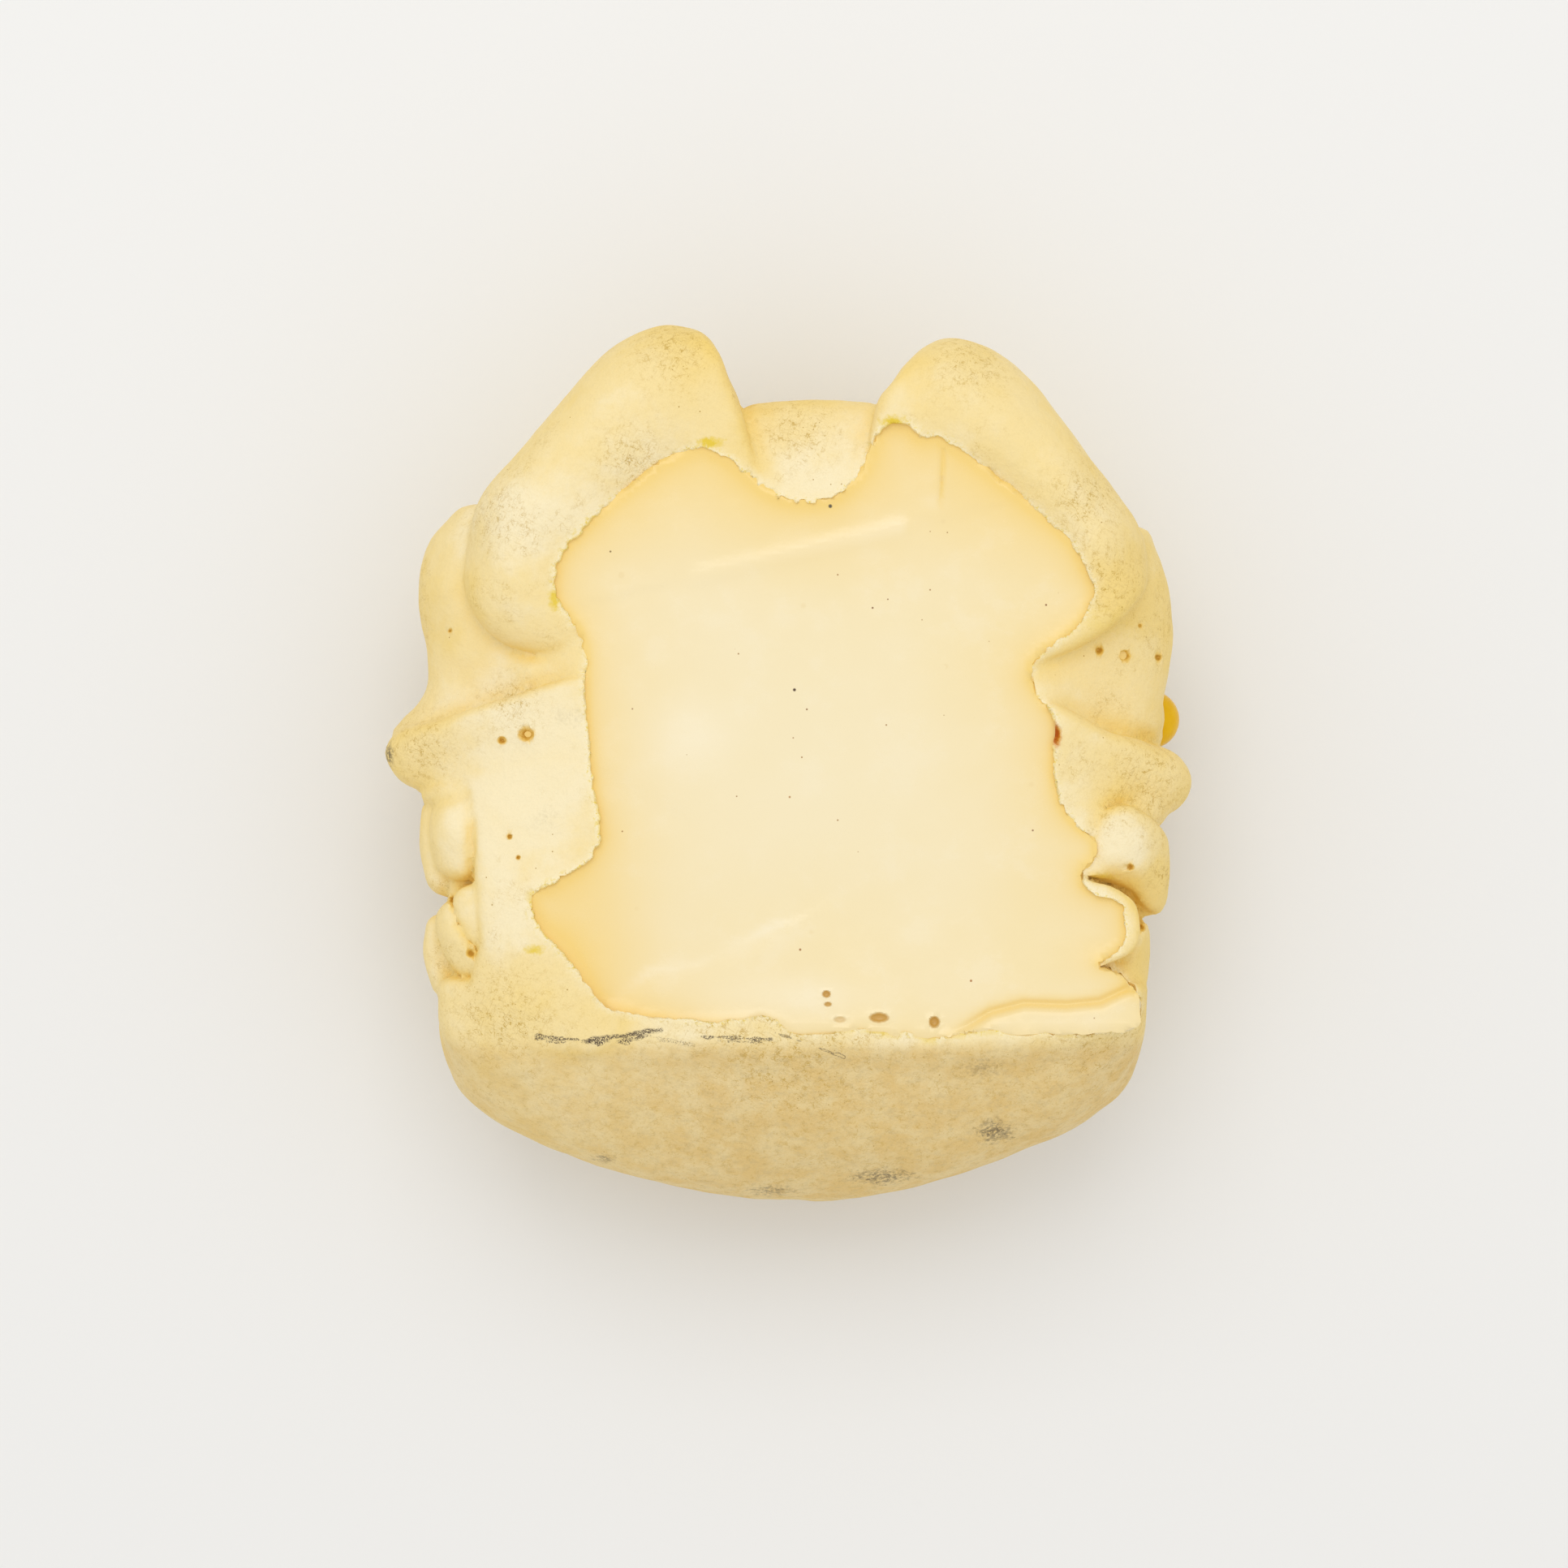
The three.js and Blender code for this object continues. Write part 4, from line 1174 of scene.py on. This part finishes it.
DRY_SPOTS = [(-24, 87, 9), (-33, 63, 7), (67, 37, 8), (76, -4, 10), (-78, 3, 8), (-60, -55, 12),
             (64, -58, 14), (38, 84, 8),
             (0, -59, 26), (-62, 52, 7), (79, -24, 4), (-58, 12, 6), (62, 55, 8), (2, 70, 8)]


def gather(spots, x, y):
    return sum(k * np.exp(-((x - a) ** 2 + (y - b) ** 2) / r ** 2) for a, b, r, k in spots)


def crease(obj):
    """Shades the cut edges crisp."""
    obj.data.set_sharp_from_angle(angle=math.radians(CRISP_ANGLE))


def mark_skin(obj):
    p, n = points_of(obj), normals_of(obj)
    x, y, z = p.T
    edge = edge_distance(x, y)
    # Mask along the trimmed edge, for its painted pale highlight and the residue in it.
    store(obj, "edge_sheen_and_residue", np.exp(-(np.abs(edge) / 0.9) ** 2) * smooth_step(z, 66, 72))
    # Painted shade on the inner wall of the cut.
    store(obj, "inner_wall_shade", smooth_step(-edge, -0.35, 0.2) * smooth_step(z, 66, 72) * 0.8)
    # Mask of the chin wall that faces down, away from the light: painted shade there, and its drier, grimier
    # skin.
    store(obj, "chin_wall_shade_and_grime", smooth_step(-y, 56.8, 62) * smooth_step(-n[:, 1] + 0.4, 0.35, 0.8)
          * (1 - 0.36 * smooth_step(-x, 10, 60)))
    above = smooth_step(z, 40, 55)
    # Painted shade: points whose normal tips away from up are stored yellower, points facing up paler, added
    # to each part's own yellowing.
    downslope_shade = 0.55 * (1 - smooth_step(n[:, 2], 0.35, 0.97)) - 0.1
    store(obj, "yellowing_and_slope_shade", downslope_shade + above * gather(AGEING, x, y))
    dry = np.clip(gather([(*spot, 1.0) for spot in DRY_SPOTS], x, y), 0, 1)
    store(obj, "dry_skin", dry)
    # How closed in each point is, for painted shade in the creases.
    closed = 0
    for reach, share in ((1.6, 0.35), (3.5, 0.35), (7.0, 0.3)):
        open_air = outer(*(p + n * reach).T) / reach
        closed = closed + share * (1 - smooth_step(open_air, 0.3, 0.95))
    store(obj, "crevice_shade", closed * smooth_step(np.abs(edge), 0.8, 2.5))


def mark_fill(obj):
    x, y, z = points_of(obj).T
    inside = np.maximum(-PLAN.at(x, y), 0)
    along_chin = smooth_step(-y, 38, 54) * smooth_step(x, -32, -8)
    # Painted shade: the pour is yellower where the walls, the overflow lip and the wrinkle close it in.
    rim_shade = 0.4 * np.exp(-inside / 0.7) + 0.5 * np.exp(-inside / 3.8) + 0.3 * np.exp(-inside / 13)
    rim_shade = rim_shade * (1 - 0.7 * along_chin)
    corner = 0.5 * bulge(np.hypot(x + 45, y + 36), 14) + 0.32 * smooth_step(y, 28, 62)
    near, side = line_distance(x, y, OVERFLOW_LIP)
    under_lip = 0.75 * bulge(near, 1.6) * smooth_step(x, 31, 42)
    near, side = line_distance(x, y, WRINKLE)
    wrinkle = 0.45 * bulge(near, 0.45)
    store(obj, "pour_wall_shade", np.clip(rim_shade + corner + under_lip + wrinkle, 0, 1))
    # Painted highlight: pale streaks and patches where the glossy pour would catch the light.
    near, side = line_distance(x, y, POUR_RIDGE)
    streak = bulge(near - 0.7 * side, 0.9 + 0.03 * (x + 20))
    streak = streak * smooth_step(x, -21, 20) * smooth_step(-x, -26, -23)
    hook = bulge(x - 30, 2.2) * bulge(y - 54.5, 1.6)
    patches = 0.5 * bulge(x + 21, 9) * bulge(y - 6, 7) + 0.5 * bulge(x - 2, 16) * bulge(y + 49, 3.5)
    near, side = line_distance(x, y, FLOW_EDGE)
    flow_sheen = 0.8 * bulge(near - 1.2 * side, 1.1) * (0.5 + 0.5 * lattice_noise(x, y, 0 * x, 5, 31))
    store(obj, "pour_highlight", np.clip(0.8 * streak + 0.6 * hook + patches + flow_sheen, 0, 1))
    # Painted sheen, strongest in the open middle of the pour.
    store(obj, "middle_sheen", bulge(x - 4, 34) * bulge(y - 4, 36))


def eye_bead(name, centre):
    """Amber bead with a slightly domed front and a dark slit pupil, looking out and down the face."""
    side = math.copysign(1, centre[0])
    look = np.array([0.62 * side, 0.05, -0.78])
    look /= np.linalg.norm(look)
    b = bmesh.new()
    bmesh.ops.create_uvsphere(b, u_segments=64, v_segments=40, radius=1)
    p = np.array([v.co[:] for v in b.verts])
    front = np.clip(p @ look, -1, 1)
    across = np.cross(look, (0, 1, 0))
    across /= np.linalg.norm(across)
    upward = np.cross(across, look)
    dome = 1 + 0.045 * smooth_step(front, 0.6, 0.92) - 0.02 * smooth_step(-front, 0.7, 1)
    for v, q, d in zip(b.verts, p, dome):
        v.co = (q * d * (EYE_R - 0.05) + np.array(centre) + SHIFT) * MM
    mesh = bpy.data.meshes.new(name)
    b.to_mesh(mesh)
    b.free()
    mesh.polygons.foreach_set("use_smooth", [True] * len(mesh.polygons))
    obj = bpy.data.objects.new(name, mesh)
    bpy.context.collection.objects.link(obj)
    slit = np.hypot((p @ across) / 0.16, (p @ upward) / 0.5)
    store(obj, "pupil", np.where(front > 0, 1 - smooth_step(slit, 0.8, 1.1), 0))
    return obj


# ---------------------------------------------------------------- build

def build_skin():
    points, quads = mesh_field(shell_field)
    skin = make_object("mask_skin", settle(points, shell_field), quads)
    thin_lining(skin, keep=0.12)
    refine(skin, shell_field, near_edge_or_hole, reaches=(1.6, 0.9))
    roughen(skin, ((17, 0.45), (6.5, 0.16), (2.6, 0.07)), keep=lambda p: smooth_step(p[:, 2], 1, 6))
    press_holes(skin, SKIN_HOLES, 45)
    mark_skin(skin)
    crease(skin)
    skin.data.materials.append(skin_material())
    return skin


def near_fill_hole(p, reach):
    hit = np.zeros(len(p), bool)
    for x, y, a, b in FILL_HOLES:
        hit |= (np.hypot(p[:, 0] - x, p[:, 1] - y) < max(a, b) + reach) & (p[:, 2] > 70)
    lip, side = line_distance(p[:, 0], p[:, 1], OVERFLOW_LIP)
    hit |= (lip < reach + 1) & (p[:, 2] > 70)
    return hit


def build_fill():
    points, quads = mesh_field(fill_field)
    pour = make_object("poured_fill", settle(points, fill_field), quads)
    refine(pour, fill_field, near_fill_hole, reaches=(1.2, 1.2))
    press_holes(pour, FILL_HOLES, 70)
    mark_fill(pour)
    crease(pour)
    pour.data.materials.append(fill_material())
    return pour


amber = amber_material()
pieces = [(build_skin(), "cast_shell", "cast_shell"), (build_fill(), "back_fill", "back_fill")]
for node, centre in EYES.items():
    bead = eye_bead(node.replace("eye_bead", "amber_eye"), centre)
    bead.data.materials.append(amber)
    pieces.append((bead, node, "eye_bead"))
for piece, node, slot in pieces:
    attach(piece, "root")
    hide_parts(node)


# ---------------------------------------------------------------- stage, light, camera

def stage_and_camera():
    bpy.ops.mesh.primitive_plane_add(size=6, location=(0, 0, 0))
    floor = bpy.context.object
    floor.name = "table_top"
    floor.data.materials.append(plain_material("table_white", (0.84, 0.832, 0.81), 0.6))
    world = bpy.data.worlds.new("studio")
    world.use_nodes = True
    world.node_tree.nodes["Background"].inputs[0].default_value = (1, 1, 1, 1)
    world.node_tree.nodes["Background"].inputs[1].default_value = 0.86
    bpy.context.scene.world = world
    for name, energy, size, place, aim in (
        ("key_softbox", 3.8, 0.8, (-0.08, 0.62, 1.2), (0, 0, 0.05)),
        ("fill_softbox", 0.6, 1.4, (0.4, -0.5, 1.3), (0, 0, 0.05)),
    ):
        lamp = bpy.data.lights.new(name, "AREA")
        lamp.energy, lamp.size = energy, size
        o = bpy.data.objects.new(name, lamp)
        o.location = place
        o.rotation_euler = (Vector(aim) - Vector(place)).to_track_quat("-Z", "Y").to_euler()
        bpy.context.collection.objects.link(o)
    cam = bpy.data.cameras.new("camera")
    cam.sensor_width = 36
    cam.angle = 2 * math.atan(0.1642 / 0.9)
    cam.clip_start = 0.05
    o = bpy.data.objects.new("camera", cam)
    o.location = (-0.00179, -0.00128, 0.98)
    bpy.context.collection.objects.link(o)
    bpy.context.scene.camera = o
    bpy.context.scene.view_settings.view_transform = "Standard"


stage_and_camera()
